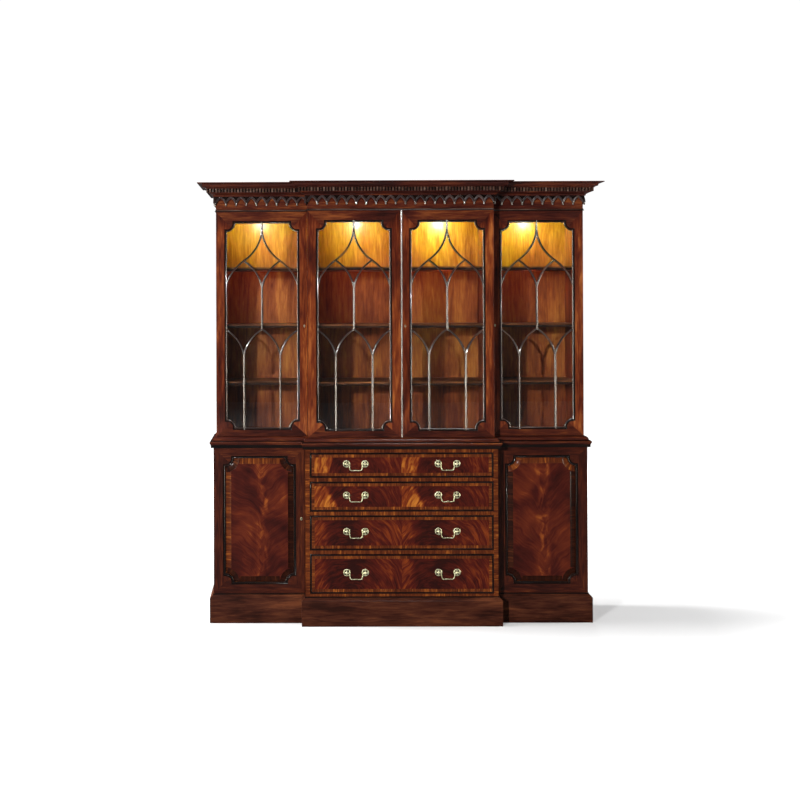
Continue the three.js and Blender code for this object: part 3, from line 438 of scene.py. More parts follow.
# Painted shade: the stiles darken below 0.6 m and above 2.02 m.
stileWood = woodFinish("stileWood", "mahogany", shadedEnds=(0.5, 0.6, 2.02, 2.13))
polished = woodFinish("polished", "bar", shine=polish)
crownWood = woodFinish("crownWood", "deep")
# Greyed ribs, pale drops and greyed dentils: painted highlights on the carving.
ribSheen = woodFinish("ribSheen", "ribSheen", shine=polish | {"Coat Weight": 0.4})
dropSheen = woodFinish("dropSheen", "drop", shine=polish)
dentilSheen = woodFinish("dentilSheen", "dentil", shine=dulled)
sideWood = woodFinish("sideWood", "side", "z", 0.8, 0.6, satin | {"Specular IOR Level": 0.02, "Coat Weight": 0.0})
crossband = woodFinish("crossband", "band", ticks=0.3, figure=0.5, shine=matt)
# The darker banding is painted shade on strips turned from the light.
shadedBand = woodFinish("shadedBand", "shadedBand", ticks=0.15, figure=0.5, shine=matt)
plinthWood = woodFinish("plinthWood", "plinth", shine=dulled | {"Coat Weight": 0.04}, streak=1.2, figure=1.4)
# A lighter band on the waist moulding's nose: a painted highlight.
waistCrestHighlight = woodFinish("waistCrestHighlight", "band", shine=polish | {"Coat Weight": 0.12})
# Pale shelf lips: a painted highlight.
lipHighlight = woodFinish("lipHighlight", "lip", shine=satin)
# Painted shade: the lining darkens below 1.42 m, in the lower compartments.
lining = woodFinish("lining", "lining", "z", 0.8, 0.7, satin, shadedEnds=(1.03, 1.42, 3.0, 4.0))
liningAcross = woodFinish("liningAcross", "lining", "x", shine=satin)
shelfWood = woodFinish("shelfWood", "shelf", shine=satin)
drawerWood = woodFinish("drawerWood", "drawer", shine=raw, figure=0.5)
# Black wood: the ebonised cockbeads and inner bars, and painted shade in quirks, hollows, gaps and holes, and behind
# the arches and dentils.
ebonisedAndShade = woodFinish("ebonisedAndShade", "black", shine=dulled)
# A black polished nose on the cupboards' sticking: painted shade.
paintedShadePolish = woodFinish("paintedShadePolish", "black", shine=polish | {"Coat Weight": 0.14})


def figured(tree, value, place, tone):
    # The colour of a figure's value, with fine dark pores over it.
    colour = ramp(tree, value, zip((0.3, 0.5, 0.68, 0.92), tones[tone]))
    pores = spread(tree, noise(tree, place, (900, 900, 30), 2), *layers["poreLimits"])
    return blend(tree, times(tree, pores, 0.25), colour, tones[tone][0])


def wandered(tree, place, layout):
    # The place pushed about by a slow noise, so that no line of the figure stays a true curve.
    wander = addNode(tree, "TexNoise", {"Vector": place, "Scale": layout["wanderScale"], "Detail": 2.0})
    pushed = wander.outputs["Color"]
    steps = ("SUBTRACT", 1, (0.5, 0.5, 0.5)), ("SCALE", "Scale", layout["wander"]), ("ADD", 1, place)
    for operation, key, value in steps:
        pushed = addNode(tree, "VectorMath", {0: pushed, key: value}, operation=operation).outputs[0]
    return addNode(tree, "SeparateXYZ", {0: pushed}).outputs


def archedFinish(name, layout):
    # Crotch figure as arches: radius and angle about a centre under the sheet, noise stretched along the angle.
    # The arches are pale left of one line and right of another, and dark between.
    material, tree, shader = newFinish(name, dulled)
    place = grainVector(tree, "grain")
    part = wandered(tree, place, layout)
    x, z = (minus(tree, part[k], layout["centre"][k]) for k in (0, 1))
    radius = maths(tree, "SQRT", plus(tree, times(tree, x, x), times(tree, z, z)))
    turn = maths(tree, "ARCTAN2", z, x)
    arcs = addNode(tree, "CombineXYZ", {0: radius, 1: turn, 2: part[2]}).outputs[0]
    fine, middle = noise(tree, arcs, (200, 3.4, 30), 4, 0.4), noise(tree, arcs, (60, 2.2, 20), 3, 0.6)
    across = minus(tree, part[0], times(tree, part[1], layout["slant"]))
    left = spread(tree, across, layout["leftEnd"] + layout["edge"], layout["leftEnd"])
    right = spread(tree, part[0], layout["rightStart"], layout["rightStart"] + 0.12)
    strong = plus(tree, times(tree, left, layout["left"]), times(tree, right, layout["right"]))
    lines = times(tree, minus(tree, middle, 0.5), plus(tree, times(tree, strong, 1.8), 0.4))
    value = summed(tree, [(fine, 0.5, 0.35), (strong, 0.0, 1.0), (noise(tree, place, (9, 9, 20), 2), 0.5, 0.35)])
    value = plus(tree, plus(tree, value, lines), layout["base"])
    feed(tree, shader, {"Base Color": figured(tree, value, place, "flame")})
    return material


def plumeFinish(name, layout):
    # Crotch figure as a feather: barbs leave the middle line upwards, along height - slope * side + bend * side
    # squared, and a broken pale plume stands on the middle line: exp(-(side / width) squared).
    material, tree, shader = newFinish(name, dulled)
    place = grainVector(tree, "grain")
    part = wandered(tree, place, layout)
    side = maths(tree, "ABSOLUTE", minus(tree, part[0], layout["middle"]))
    fall = times(tree, side, minus(tree, layout["slope"], times(tree, side, layout["bend"])))
    barb = addNode(tree, "CombineXYZ", {0: minus(tree, part[1], fall), 1: part[0], 2: part[2]}).outputs[0]
    fine, middle = noise(tree, barb, (170, 9, 30), 4, 0.5), noise(tree, barb, (36, 7, 20), 3, 0.9)
    broad = noise(tree, place, (8, 6, 20), 2, 0.6)
    away = maths(tree, "DIVIDE", side, layout["plumeWidth"])
    plume = maths(tree, "EXPONENT", times(tree, times(tree, away, away), -1.0))
    broken = times(tree, plume, spread(tree, noise(tree, place, (26, 11, 20), 3, 1.0), 0.42, 0.66))
    value = summed(tree, [(fine, 0.5, 0.22), (middle, 0.5, 0.4), (broad, 0.5, 0.7), (broken, 0.0, layout["plume"])])
    feed(tree, shader, {"Base Color": figured(tree, plus(tree, value, layout["base"]), place, "panel")})
    return material


upperFlame = archedFinish("upperFlame", {
    "centre": (0.21, -0.01), "wander": 0.035, "wanderScale": 9.0, "base": -0.06,
    "leftEnd": 0.055, "edge": 0.02, "left": 0.3, "rightStart": 0.3, "right": 0.05, "slant": 0.35,
})
secondFlame = archedFinish("secondFlame", {
    "centre": (0.21, -0.03), "wander": 0.04, "wanderScale": 8.0, "base": -0.07,
    "leftEnd": 0.1, "edge": 0.03, "left": 0.28, "rightStart": 0.29, "right": 0.05, "slant": -0.5,
})
lowerFlame = archedFinish("lowerFlame", {
    "centre": (0.17, -0.06), "wander": 0.06, "wanderScale": 7.0, "base": -0.14,
    "leftEnd": 0.06, "edge": 0.05, "left": 0.17, "rightStart": 0.2, "right": 0.15, "slant": -0.3,
})
panelFlame = plumeFinish("panelFlame", {
    "middle": 0.015, "slope": 1.1, "bend": 2.2, "wander": 0.11, "wanderScale": 6.0, "base": 0.02,
    "plumeWidth": 0.03, "plume": 0.22,
})


def brassFinish():
    # Pale antiqued brass: brown tarnish gathers in broad patches, and the polish is uneven.
    material, tree, shader = newFinish("brass", {"Metallic": 1.0, "Roughness": 0.4})
    place = grainVector(tree, "grain")
    patches = noise(tree, place, (160, 160, 160), 4)
    metal = (linear(106, 102, 74), linear(168, 166, 134), linear(216, 214, 188))
    colour = ramp(tree, patches, zip((0.3, 0.5, 0.72), metal))
    feed(tree, shader, {"Base Color": colour, "Roughness": spread(tree, patches, 0.0, 1.0, 0.5, 0.34, "LINEAR")})
    return material


def glassFinish():
    # Clear panes. Lamps shine through them, because a shadow ray meets a transparent shader instead.
    material, tree, shader = newFinish("glass", {
        "Base Color": (0.97, 0.985, 0.98, 1), "Roughness": 0.0, "IOR": 1.3, "Specular IOR Level": 0.25,
        "Transmission Weight": 1.0,
    })
    clear = addNode(tree, "BsdfTransparent", {"Color": (0.94, 0.96, 0.95, 1)})
    shadow = addNode(tree, "LightPath").outputs["Is Shadow Ray"]
    mix = addNode(tree, "MixShader", {0: shadow, 1: shader.outputs[0], 2: clear.outputs[0]})
    feed(tree, tree.nodes["Material Output"], {"Surface": mix.outputs[0]})
    return material


def lensFinish():
    # Frosted, softly lit glass with fine ridges.
    material, tree, shader = newFinish("lens", {
        "Base Color": (1, 0.93, 0.78, 1), "Roughness": 0.3, "Emission Color": (1.0, 0.86, 0.5, 1),
        "Emission Strength": 6.0,
    })
    ridges = noise(tree, grainVector(tree, "grain"), (300, 300, 300), 2)
    bump = addNode(tree, "Bump", {"Height": ridges, "Strength": 0.2, "Distance": 0.0005})
    feed(tree, shader, {"Normal": bump.outputs[0]})
    return material


brass, glass, lens = brassFinish(), glassFinish(), lensFinish()
print("finishes made")


# ---- boards of the two cases, which the CAD nodes show

def dress(names, material):
    # The CAD nodes keep their own meshes and take this finish.
    for name in names:
        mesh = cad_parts[name].data
        mesh.materials.clear()
        mesh.materials.append(material)


sides = ["left", "right"]
leaves = ["wing_left", "centre_left", "centre_right", "wing_right"]
uprights = ("base_side", "upper_side", "base_partition", "upper_partition")
dress([f"{part}_{side}" for side in sides for part in uprights], sideWood)
dress(["upper_back", "base_back"], lining)
dress(["upper_ceiling", "base_bottom"], liningAcross)
dress([f"glass_{leaf}" for leaf in leaves], glass)


# ---- shelves with a rounded front edge and a groove that plates stand in

shelf = {"grooveFromBack": 62, "grooveHalf": 6, "grooveDeep": 2.5, "lip": 3.4, "noseBulge": 3.2, "beadHeight": 6.5}


def shelfBody(node, name):
    # Three sections carried from side to side: the grooved board, its lower edge painted black as shade, and the half
    # round lip painted pale as a highlight.
    low, high = (np.array(corner) * 1000 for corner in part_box(node))
    (front, foot), (rear, top) = low[1:], high[1:]
    groove, lip, bead = rear - shelf["grooveFromBack"], front + shelf["lip"], top - shelf["beadHeight"]
    t = np.linspace(0, np.pi, 9)
    dip = joined(groove - shelf["grooveHalf"] * np.cos(t), top - shelf["grooveDeep"] * np.sin(t))
    board = np.vstack([[(lip, top), (lip, foot), (rear, foot), (rear, top)], dip[::-1]])
    edge = [(lip - 1.6, bead), (lip - 1.6, foot + 1), (lip - 0.6, foot), (lip + 0.6, foot), (lip + 0.6, bead)]
    crest = halfRound((lip, top), (lip, bead), -shelf["noseBulge"], 8)
    crest = np.vstack([crest, [(lip + 0.6, bead), (lip + 0.6, top)]])
    shells = []
    for mat, section in enumerate((board, np.array(edge), crest)):
        rings = raised(section, (low[0], high[0]))[..., [2, 0, 1]]
        shells.append(loft(rings, turned(rings, "x", low[2] / 400), mat))
    putMesh(name, shells, [shelfWood, ebonisedAndShade, lipHighlight], "case", [node])


shelves = [f"shelf_{bay}_{i}" for bay in ("left", "centre", "right") for i in (1, 2, 3)]
for node in shelves + [f"cupboard_shelf_{side}" for side in sides]:
    shelfBody(node, node + "_board")
print("shelves made")


# ---- plinth, waist moulding, frieze and cornice

plinth = {"proud": 35, "mould": 22, "inner": -21, "lip": 17.5, "railDepth": 22}
waist = {"proud": 19.5, "height": 57, "nose": (0.36, 0.58), "crestAt": 0.56, "crestHalf": 3.2}
crown = {"inner": -40, "railDepth": 22, "bead": 10, "beadReach": 7}


def plinthBody():
    # A square frame with a small ledge and a hollow rising from it, carried round the front line.
    top, face, inner, lip = case["plinthTop"], plinth["proud"], plinth["inner"], plinth["lip"]
    foot = top - plinth["mould"]
    ledge = (face - 2.75, foot + 2.75)
    profile = np.vstack([
        [(inner, 0), (face - 0.8, 0), (face, 0.8), (face, foot - 0.6), (face - 0.5, foot), ledge],
        ogee(ledge, (lip, top - 2.75)), [(lip, top - 0.5), (lip - 0.5, top), (inner, top)],
    ])
    half = case["upperHalf"] - 20
    rail = woodBox((-half, case["backFace"] - plinth["railDepth"], 0), (half, case["backFace"], top), "x")
    # Painted shade: black lines lie under the base and under the moulding.
    quirk = [(inner + 1, top - 7), (lip + 1.6, top - 7), (lip + 0.6, top - 0.4), (inner + 1, top - 0.4)]
    throat = [(face - 9, foot - 2.2), (face - 0.05, foot - 2.2), (face - 0.05, foot + 0.2), (face - 9, foot + 0.2)]
    shells = mitredRuns(profile, seed=1) + mitredRuns(quirk, 1) + mitredRuns(throat, 1)
    putMesh("plinth_frame", shells + [rail], [plinthWood, ebonisedAndShade], "case", ["plinth"])


def waistBody():
    # An ogee out to a half round nose at 0.36 to 0.58 of the height, and a cove back to the upper case.
    foot, height = case["baseTop"], waist["height"]
    reach = case["baseProud"] + waist["proud"]
    throat = case["baseProud"] + waist["proud"] / 3
    low, high = (foot + height * share for share in waist["nose"])
    start, shoulder = (case["baseProud"] + 1.95, foot), reach - waist["proud"] / 6
    quirk = (throat, high + height / 12)
    top = (1.5, foot + height)
    nose = halfRound((shoulder, low), (shoulder, high), reach - shoulder, 10)
    profile = np.vstack([[start], ogee(start, (shoulder, low)), nose[1:-1], [(shoulder, high)],
                         [(throat + 1.5, high + 2.2)], [quirk], cove(quirk, top)])
    # The board's flat top and underside close over the whole plan, ring by ring.
    line = planLine(profile[:, 0])
    rings = joined(line[..., 0], line[..., 1], profile[:, 1:])
    # Black strips painted as shade: under the nose, round its top and the quirk above it, and under the upper case.
    under = [(-1, foot + 0.4), (shoulder - 3.4, foot + 0.4), (shoulder - 1.4, low - 2.6), (-1, low - 2.6)]
    groove = [(-1, high + 1.2), (shoulder + 0.4, high + 1.2), (throat + 1.2, high + 4.4), (-1, high + 4.4)]
    ledge = [(-1, top[1] - 5), (3.4, top[1] - 5), (2.1, top[1] - 0.3), (-1, top[1] - 0.3)]
    # The crest on the nose's middle takes a lighter band as a painted highlight.
    middle = low + (high - low) * waist["crestAt"]
    below, above = middle - waist["crestHalf"], middle + waist["crestHalf"]
    crest = np.vstack([halfRound((reach - 1.6, below), (reach - 1.6, above), 2.2, 10), [(-1, above), (-1, below)]])
    brow = [(-1, high - 2.4), (shoulder + 0.9, high - 2.4), (shoulder + 0.9, high + 0.1), (-1, high + 0.1)]
    shells = [loft(rings, turned(rings, "x", 2))] + mitredRuns(crest, 2, 4)
    for dark in (under, groove, brow, ledge):
        shells += mitredRuns(dark, 1, 4)
    putMesh("waist_moulding", shells, [deepWood, ebonisedAndShade, waistCrestHighlight], "case", ["waist_board"])


def friezeShells():
    # A flat board with a half round bead along its foot, carried round the front line.
    base, top = case["friezeFloor"], case["corniceFloor"] - case["fit"]
    bead, reach = crown["bead"], crown["beadReach"]
    profile = np.vstack([
        [(crown["inner"], base)], [(1.5, base)], halfRound((1.5, base), (1.5, base + bead), -(reach - 2.5), 10)[1:-1],
        [(1.5, base + bead), (0, base + bead + 1), (0, top), (crown["inner"], top)],
    ])
    half = case["upperHalf"] - 6
    rail = woodBox((-half, case["backFace"] - crown["railDepth"], base), (half, case["backFace"], top), "x")
    # The bead's crest is painted pale as a highlight, and the quirk under it is painted black as shade.
    crest = halfRound((2, base + 3.4), (2, base + bead), -(reach - 1.7), 8)
    crest = np.vstack([crest, [(-2, base + bead), (-2, base + 3.4)]])
    quirk = [(-1, base + 0.2), (reach - 1, base + 0.2), (reach - 2, base + 3.6), (-1, base + 3.6)]
    return mitredRuns(profile, seed=3) + mitredRuns(crest, 3, 4) + mitredRuns(quirk, 1, 4) + [rail]


arcade = {
    "pitch": 52, "pendantHalf": 3.5, "tip": 30, "spring": 43, "apex": 71, "shoulderShare": 0.56, "turnShare": 0.2,
    "ribRadius": 7.0, "ribAcross": 0.85, "ribShift": 0.35, "archSteps": 10, "ribSides": 8, "boardFace": 7,
    "drop": [(0, 0), (2.6, 0.66), (4.68, 3.3), (5.33, 6.16), (4.16, 9.24), (2.99, 11.44), (4.42, 12.54), (4.42, 14.08),
             (0, 14.74)],
}


def planRuns(proud):
    # Each straight run: where it starts, its way along and out, its length, and whether its ends turn outwards.
    line = planLine(proud)
    outwards = [True, True, False, True, True, False, True, True]
    for k in range(len(line) - 1):
        step = line[k + 1] - line[k]
        length = float(np.linalg.norm(step))
        along = step / length
        yield {"start": line[k], "along": along, "away": np.array([along[1], -along[0]]), "length": length,
               "opens": outwards[k], "closes": outwards[k + 1], "first": k == 0, "last": k == len(line) - 2, "k": k}


def onRun(run, distance, out):
    # The x and y of a place beside a run: start + distance * along + out * away.
    return [run["start"][axis] + distance * run["along"][axis] + out * run["away"][axis] for axis in (0, 1)]


def archCell(pitch):
    # An arch goes up from the spring by a bend to the apex in the middle, and down as its mirror image. The cell adds
    # the small slope at each end, down to the pendant's tip.
    half, spring, apex, tip = (arcade[key] for key in ("pendantHalf", "spring", "apex", "tip"))
    turnIn = half + (pitch / 2 - half) * arcade["turnShare"]
    rise = spring + (apex - spring) * arcade["shoulderShare"]
    up = bezier((half, spring), (turnIn, rise), (pitch / 2, apex), arcade["archSteps"])
    arch = np.vstack([up, (up * (-1, 1) + (pitch, 0))[::-1][1:]])
    slope = np.array([(0, tip + 1), (2.2, tip + 2.5), (3.2, tip + 6)])
    return arch, np.vstack([slope, arch, (slope * (-1, 1) + (pitch, 0))[::-1]])


def archBoard(run, cell, arches, pitch, base, top):
    # Four rows over the cells' lower edge: that edge and the top on the front face, and then the same on the back.
    thick, length = arcade["boardFace"], run["length"]
    edge = np.vstack([cell[:-1] + (i * pitch, 0) for i in range(arches)] + [[(length, cell[-1, 1])]])
    low, front, back = base + edge[:, 1], edge[:, 0].copy(), np.clip(edge[:, 0], 0.2, length - 0.2)
    front[0] -= thick if run["opens"] and not run["first"] else 0
    front[-1] += thick if run["closes"] and not run["last"] else 0
    rows = (front, thick, low), (front, thick, top), (back, -1, top), (back, -1, low)
    rings = np.stack([joined(*onRun(run, distance, out), height) for distance, out, height in rows], 1)
    # Material 1 paints the board black, as shade behind the arches.
    return loft(rings, joined(edge[:, None, 1], np.arange(4.0), edge[:, None, 0] + run["k"] * 371), 1)


def archRibs(run, arch, arches, pitch, base):
    # A round section of radius r about each arch: r cos b out from the face, and r sin b across it, squeezed and
    # shifted inwards. The first and last run end at the back, and no rib stands past it.
    r, turn = arcade["ribRadius"], np.arange(arcade["ribSides"]) * 2 * np.pi / arcade["ribSides"]
    across = r * arcade["ribAcross"] * np.sin(turn) + r * arcade["ribShift"]
    flat = arch[:, None] + pathWays(arch)[:, None] * across[None, :, None]
    near, far = 0.3 if run["first"] else -60, run["length"] + (-0.3 if run["last"] else 60)
    ribs = []
    for i in range(arches):
        distance = np.clip(flat[..., 0] + i * pitch, near, far)
        x, y = onRun(run, distance, arcade["boardFace"] + 0.6 + r * np.cos(turn))
        grain = joined(np.cos(turn), np.sin(turn), arch[:, :1] + i * 60.0)
        # Material 2 gives the ribs a greyed tone, a painted highlight.
        ribs.append(loft(joined(x, y, base + flat[..., 1]), grain, 2))
    return ribs


def archDrops(run, arches, pitch, base):
    # A small turned pear hangs under each pendant. Where two runs meet at an outer corner, one of them has it.
    opens, closes, out = run["opens"], run["closes"], arcade["boardFace"]
    drops = []
    for i in range(0 if opens and run["k"] in (1, 4) else 1, arches + (1 if closes and run["k"] in (3, 5) else 0)):
        x, y = onRun(run, i * pitch, out)
        if i == 0 and opens:
            x, y = onRun(run, 1 - out, out - 1)
        if i == arches and closes:
            x, y = onRun(run, run["length"] + out - 1, out - 1)
        # Material 4 gives the drops a pale tone, a painted highlight.
        drops.append(lathe(arcade["drop"], (x, y, base + arcade["tip"] - 1.6), 10, 4, tilt="up"))
    return drops


def arcadeShells():
    # Pointed arches in cells of an even pitch along each run: the number of cells is the whole one nearest to the
    # run's length / pitch.
    base, top = case["friezeFloor"], case["corniceFloor"] - case["fit"]
    shells = []
    for run in planRuns(0):
        arches = max(1, int(run["length"] / arcade["pitch"] + 0.5))
        pitch = run["length"] / arches
        arch, cell = archCell(pitch)
        shells += [archBoard(run, cell, arches, pitch, base, top), *archRibs(run, arch, arches, pitch, base)]
        shells += archDrops(run, arches, pitch, base)
    return shells


cornice = {
    "levels": (0.06, 0.3, 0.58, 0.64, 0.72, 0.77, 0.93),
    "reach": (50.6, 66.24, 80.04), "overhang": 92, "foot": 12.5, "root": 36,
    "dentilWidth": 9, "dentilPitch": 16, "dentilDeep": 11,
}


def corniceShells():
    # Ogee bed, dentils, corona, cove and top fillet, each level a share of the height from floor to top.
    floor, top = case["corniceFloor"], case["top"]
    bed, low, ground, fillet, under, over, upper = (floor + (top - floor) * share for share in cornice["levels"])
    root, reach, out = cornice["root"], cornice["reach"], cornice["overhang"]
    foot, inner = cornice["foot"], crown["inner"]
    corona, face = (reach[0], fillet), (reach[1], over)
    profile = np.vstack([
        [(inner, floor), (foot, floor), (foot, bed)], ogee((foot, bed), (root, low - 0.3)),
        [(root, ground), (reach[0], ground), corona], quarterRound(corona, (reach[1], under)),
        [face], cove(face, (reach[2], upper)),
        [(out - 0.6, upper), (out, upper + 0.6), (out, top - 0.8), (out - 0.8, top), (inner, top)],
    ])
    shells = mitredRuns(profile, seed=5)
    high, wide, deep = ground + 0.2, cornice["dentilWidth"], cornice["dentilDeep"]
    # The ground behind the dentils is painted black as shade, and the dentils' greyed tone is a painted highlight. Each
    # dentil's face is a little rounded in plan.
    shells += mitredRuns([(root - 4, low + 0.5), (root + 0.6, low + 0.5), (root + 0.6, high), (root - 4, high)], 1, 6)
    swell = np.array([(0, -deep - 0.5), (0, -1.6), (0.12, -0.5), (0.5, 0), (0.88, -0.5), (1, -1.6), (1, -deep - 0.5)])
    for run in planRuns(root + deep):
        gaps = max(1, int((run["length"] - wide) / cornice["dentilPitch"] + 0.5))
        step = (run["length"] - wide) / gaps
        for i in range(0 if run["opens"] else 1, gaps + (1 if run["closes"] and run["last"] else 0)):
            rings = raised(joined(*onRun(run, i * step + wide * swell[:, 0], swell[:, 1])), (low, high))
            shells.append(loft(rings, turned(rings, "x", i % 7), 2))
    return shells


plinthBody()
waistBody()
putMesh("frieze_and_arcade", friezeShells() + arcadeShells(), [deepWood, ebonisedAndShade, ribSheen, dentilSheen, dropSheen],
        "case", ["arcade_frieze"])
putMesh("cornice", corniceShells(), [crownWood, ebonisedAndShade, dentilSheen], "case", ["crown_cornice"], smooth=30)
print("plinth, waist and crown made")


# ---- doors

door = {
    "thickness": 22, "lip": 12, "mould": 11, "rebate": 8, "veneer": 0.6, "chamfer": 0.6,
    "cornerRadius": 43, "cornerShoulder": 5, "cornerSteps": 14,
}
# Sticking round an opening: how far out into the wood and how deep behind the face. A bright polished round nose stands
# at the sight edge, and a hollow painted black as shade runs round outside it. On the cupboard doors the nose too is
# painted black as shade.
nose = np.vstack([[(-0.3, 12.0), (-0.3, 4.4)], halfRound((-0.3, 3.6), (5.3, 3.0), 2.8, 10), [(5.3, 12.0)]])
hollow = np.vstack([[(5.0, 12.0), (5.0, 4.2), (6.4, 4.6)], quarterRound((6.4, 4.6), (11.4, 0.9), 6),
                    [(11.6, -0.3), (12.6, -0.3), (13.0, 12.0)]])


def indentedOutline(width, height, grow):
    # Each corner is a quarter round about the opening's own corner, of the corner radius less the growth, between two
    # small shoulders: (-r cos a, -r sin a) for a from one shoulder to the other.
    radius = math.hypot(door["cornerRadius"], door["cornerShoulder"]) - grow
    reach = door["cornerRadius"] - grow
    first = math.acos(reach / radius)
    angle = np.linspace(first, np.pi / 2 - first, door["cornerSteps"] + 1)
    arc = -radius * joined(np.cos(angle), np.sin(angle))
    corner = np.vstack([[(-reach, grow)], arc, [(grow, -reach)]]) + (width / 2, height / 2)
    return np.vstack([corner, corner[::-1] * (1, -1), corner * (-1, -1), corner[::-1] * (-1, 1)])


def stickingShells(spec, front):
    # Both sections carried round the opening: each of their points follows the outline grown by its own distance out.
    shells = []
    sx, sz = spec["middle"]
    for section, mat in ((nose, 1), (hollow, 2)):
        rings = np.stack([indentedOutline(spec["sightWidth"], spec["sightHeight"], out) for out in section[:, 0]])
        grain = joined(section[:, :1], section[:, 1:], ringLength(rings[0])[None] + spec["seed"] * 500)
        points = joined(rings[..., 0] + sx, front + section[:, 1:], rings[..., 1] + sz)
        shells.append(loft(points, grain, mat, loop=True))
    return shells


def veneerShells(spec, front):
    # Mitred veneers on a frame's face: each follows the opening from the middle of one corner to the middle of the
    # next, and is ruled out to the frame's own corners: outer = a + share * (b - a), by the share of the way along.
    x0, x1 = (edge + way * 0.4 for edge, way in zip(spec["edges"], (1, -1)))
    foot, top = spec["foot"] + 0.4, spec["foot"] + spec["height"] - 0.4
    corners = np.array([(x1, top), (x1, foot), (x0, foot), (x0, top)])
    opening = indentedOutline(spec["sightWidth"], spec["sightHeight"], door["mould"] + 0.6) + spec["middle"]
    quarter = len(opening) // 4
    shells = []
    for k in range(4):
        inner = opening[(np.arange(quarter + 1) + k * quarter + quarter // 2) % len(opening)]
        axis, (a, b) = (k + 1) % 2, corners[[k, (k + 1) % 4]]
        share = (inner[:, axis] - inner[0, axis]) / (inner[-1, axis] - inner[0, axis])
        outer = a + share[:, None] * (b - a)
        back = front + door["veneer"] + 0.1
        rings = ruled(((inner, front), (outer, front), (outer, back), (inner, back)))
        shells.append(loft(rings, turned(rings, "zx"[k % 2], spec["seed"] + 1.7 * k), (0, 3)[k % 2]))
    return shells


def frameShells(spec, face):
    # Two stiles the full height, as plan outlines carried up, and two rails between them whose inner edges follow the
    # opening. The rear corner beside the pin is rounded about the pin.
    half, front, chamfer = door["thickness"] / 2, face + door["veneer"], door["chamfer"]
    x0, x1 = spec["edges"]
    sx, sz = spec["middle"]
    foot, top = spec["foot"], spec["foot"] + spec["height"]
    inner, seat = spec["sightWidth"] / 2 + door["mould"] + 0.5, spec["sightWidth"] / 2 + door["rebate"]
    rear, step = face + door["thickness"], face + door["lip"]
    turn = np.linspace(0, np.pi / 2, 9)
    shells = veneerShells(spec, face)
    for edge, way in ((x0, 1), (x1, -1)):
        a, b = sx - way * inner, sx - way * seat
        corner = [(edge + way * 0.5, rear), (edge, rear - 0.5)]
        if edge == spec["pinEdge"]:
            corner = joined(edge + way * half * (1 - np.sin(turn)), rear - half * (1 - np.cos(turn)))
        outline = np.vstack([[(edge + way * chamfer, front), (a, front), (a, step), (b, step), (b, rear)],
                             corner, [(edge, front + chamfer)]])
        rings = raised(outline, (foot, top))
        shells.append(loft(rings, turned(rings, "z", spec["seed"] + way)))
    opening = indentedOutline(spec["sightWidth"], spec["sightHeight"], door["mould"] + 0.5) + (sx, sz)
    # The upper line starts at the left and goes over the last and the first quarter, and the lower one goes back.
    half = len(opening) // 2
    around = np.roll(opening, half // 2, axis=0)
    for way, line, edge in ((1, around[:half], top), (-1, around[half:][::-1], foot)):
        line = line.copy()
        line[0, 0], line[-1, 0] = sx - inner, sx + inner
        # Vertical rules from the opening's line to the rail's straight edge, on the face and on the lip's back.
        flat = joined(line[:, 0], edge)
        rings = ruled(((line, front), (flat, front), (flat, step), (line, step)))
        seed = spec["seed"] + 5 * way
        shells.append(loft(rings, turned(rings, "x", seed), 3))
        low, high = sorted((sz + way * (spec["sightHeight"] / 2 + door["rebate"]), edge))
        shells.append(woodBox((sx - seat, step, low), (sx + seat, rear, high), "x", 3, seed))
    return shells


# The bars' lines, as shares of half the opening's width and of its height, and their sections: half the width and the
# depth behind the door's face, for the round nosed bar before the glass and the flat one behind it.
tracery = {
    "crown": [(0, 1.01), (0, 0.955)],
    "ogee": [(0, 0.968), (0.045, 0.875), (0.516, 0.8167), (0.92, 0.766), (1.02, 0.695)],
    "inner": [(0.516, 0.8167), (0.11, 0.772), (0, 0.688)],
    "centre": [(0, 0.71), (0, 0.475)],
    "middle": [(0, 0.481), (0.42, 0.436), (0.516, 0.353)],
    "side": [(1.03, 0.478), (0.61, 0.436), (0.516, 0.353)],
    "foot": [(0.516, 0.362), (0.516, -0.01)],
}
barFlank = np.array([(5.1, 12.0), (5.1, 10.4), (4.7, 9.8), (4.6, 8.6)])
barSections = (
    np.vstack([barFlank, halfRound((4.6, 7.8), (-4.6, 7.8), -4.6, 14), barFlank[::-1] * (-1, 1)]),
    np.array([(5.4, 16.6), (5.4, 19.6), (3.6, 21.4), (-3.6, 21.4), (-5.4, 19.6), (-5.4, 16.6)]),
)


def traceryShells(spec, front):
    # Each bar's line goes through its knots by bends of three knots, or straight between two, and is mirrored about the
    # opening's middle. Both sections are carried along it.
    shells = []
    sill = (spec["middle"][0], spec["middle"][1] - spec["sightHeight"] / 2)
    scale = np.array([spec["sightWidth"] / 2, spec["sightHeight"]])
    for seed, (name, shares) in enumerate(tracery.items()):
        for way in ((1,) if name in ("crown", "centre") else (1, -1)):
            knots = np.array(shares) * scale * (way, 1) + sill
            if len(knots) == 2:
                line = np.linspace(knots[0], knots[1], 3)
            else:
                bends = [bezier(*knots[i:i + 3], 14) for i in range(0, len(knots) - 2, 2)]
                line = np.vstack([bend[min(i, 1):] for i, bend in enumerate(bends)])
            for mat, section in enumerate(barSections):
                shells.append(carried(line, section + (0, front), mat, seed=seed + way + spec["seed"]))
    return shells


def astragalShell(spec, front):
    # A half round on the meeting edge: 8 wide and 4 proud.
    edge = spec["edges"][0]
    outline = halfRound((edge + 0.2, front + 0.3), (edge + 8, front + 0.3), 4.1, 12)
    rings = raised(outline, (spec["foot"], spec["foot"] + spec["height"]))
    return loft(rings, turned(rings, "z", 4.0), 1)


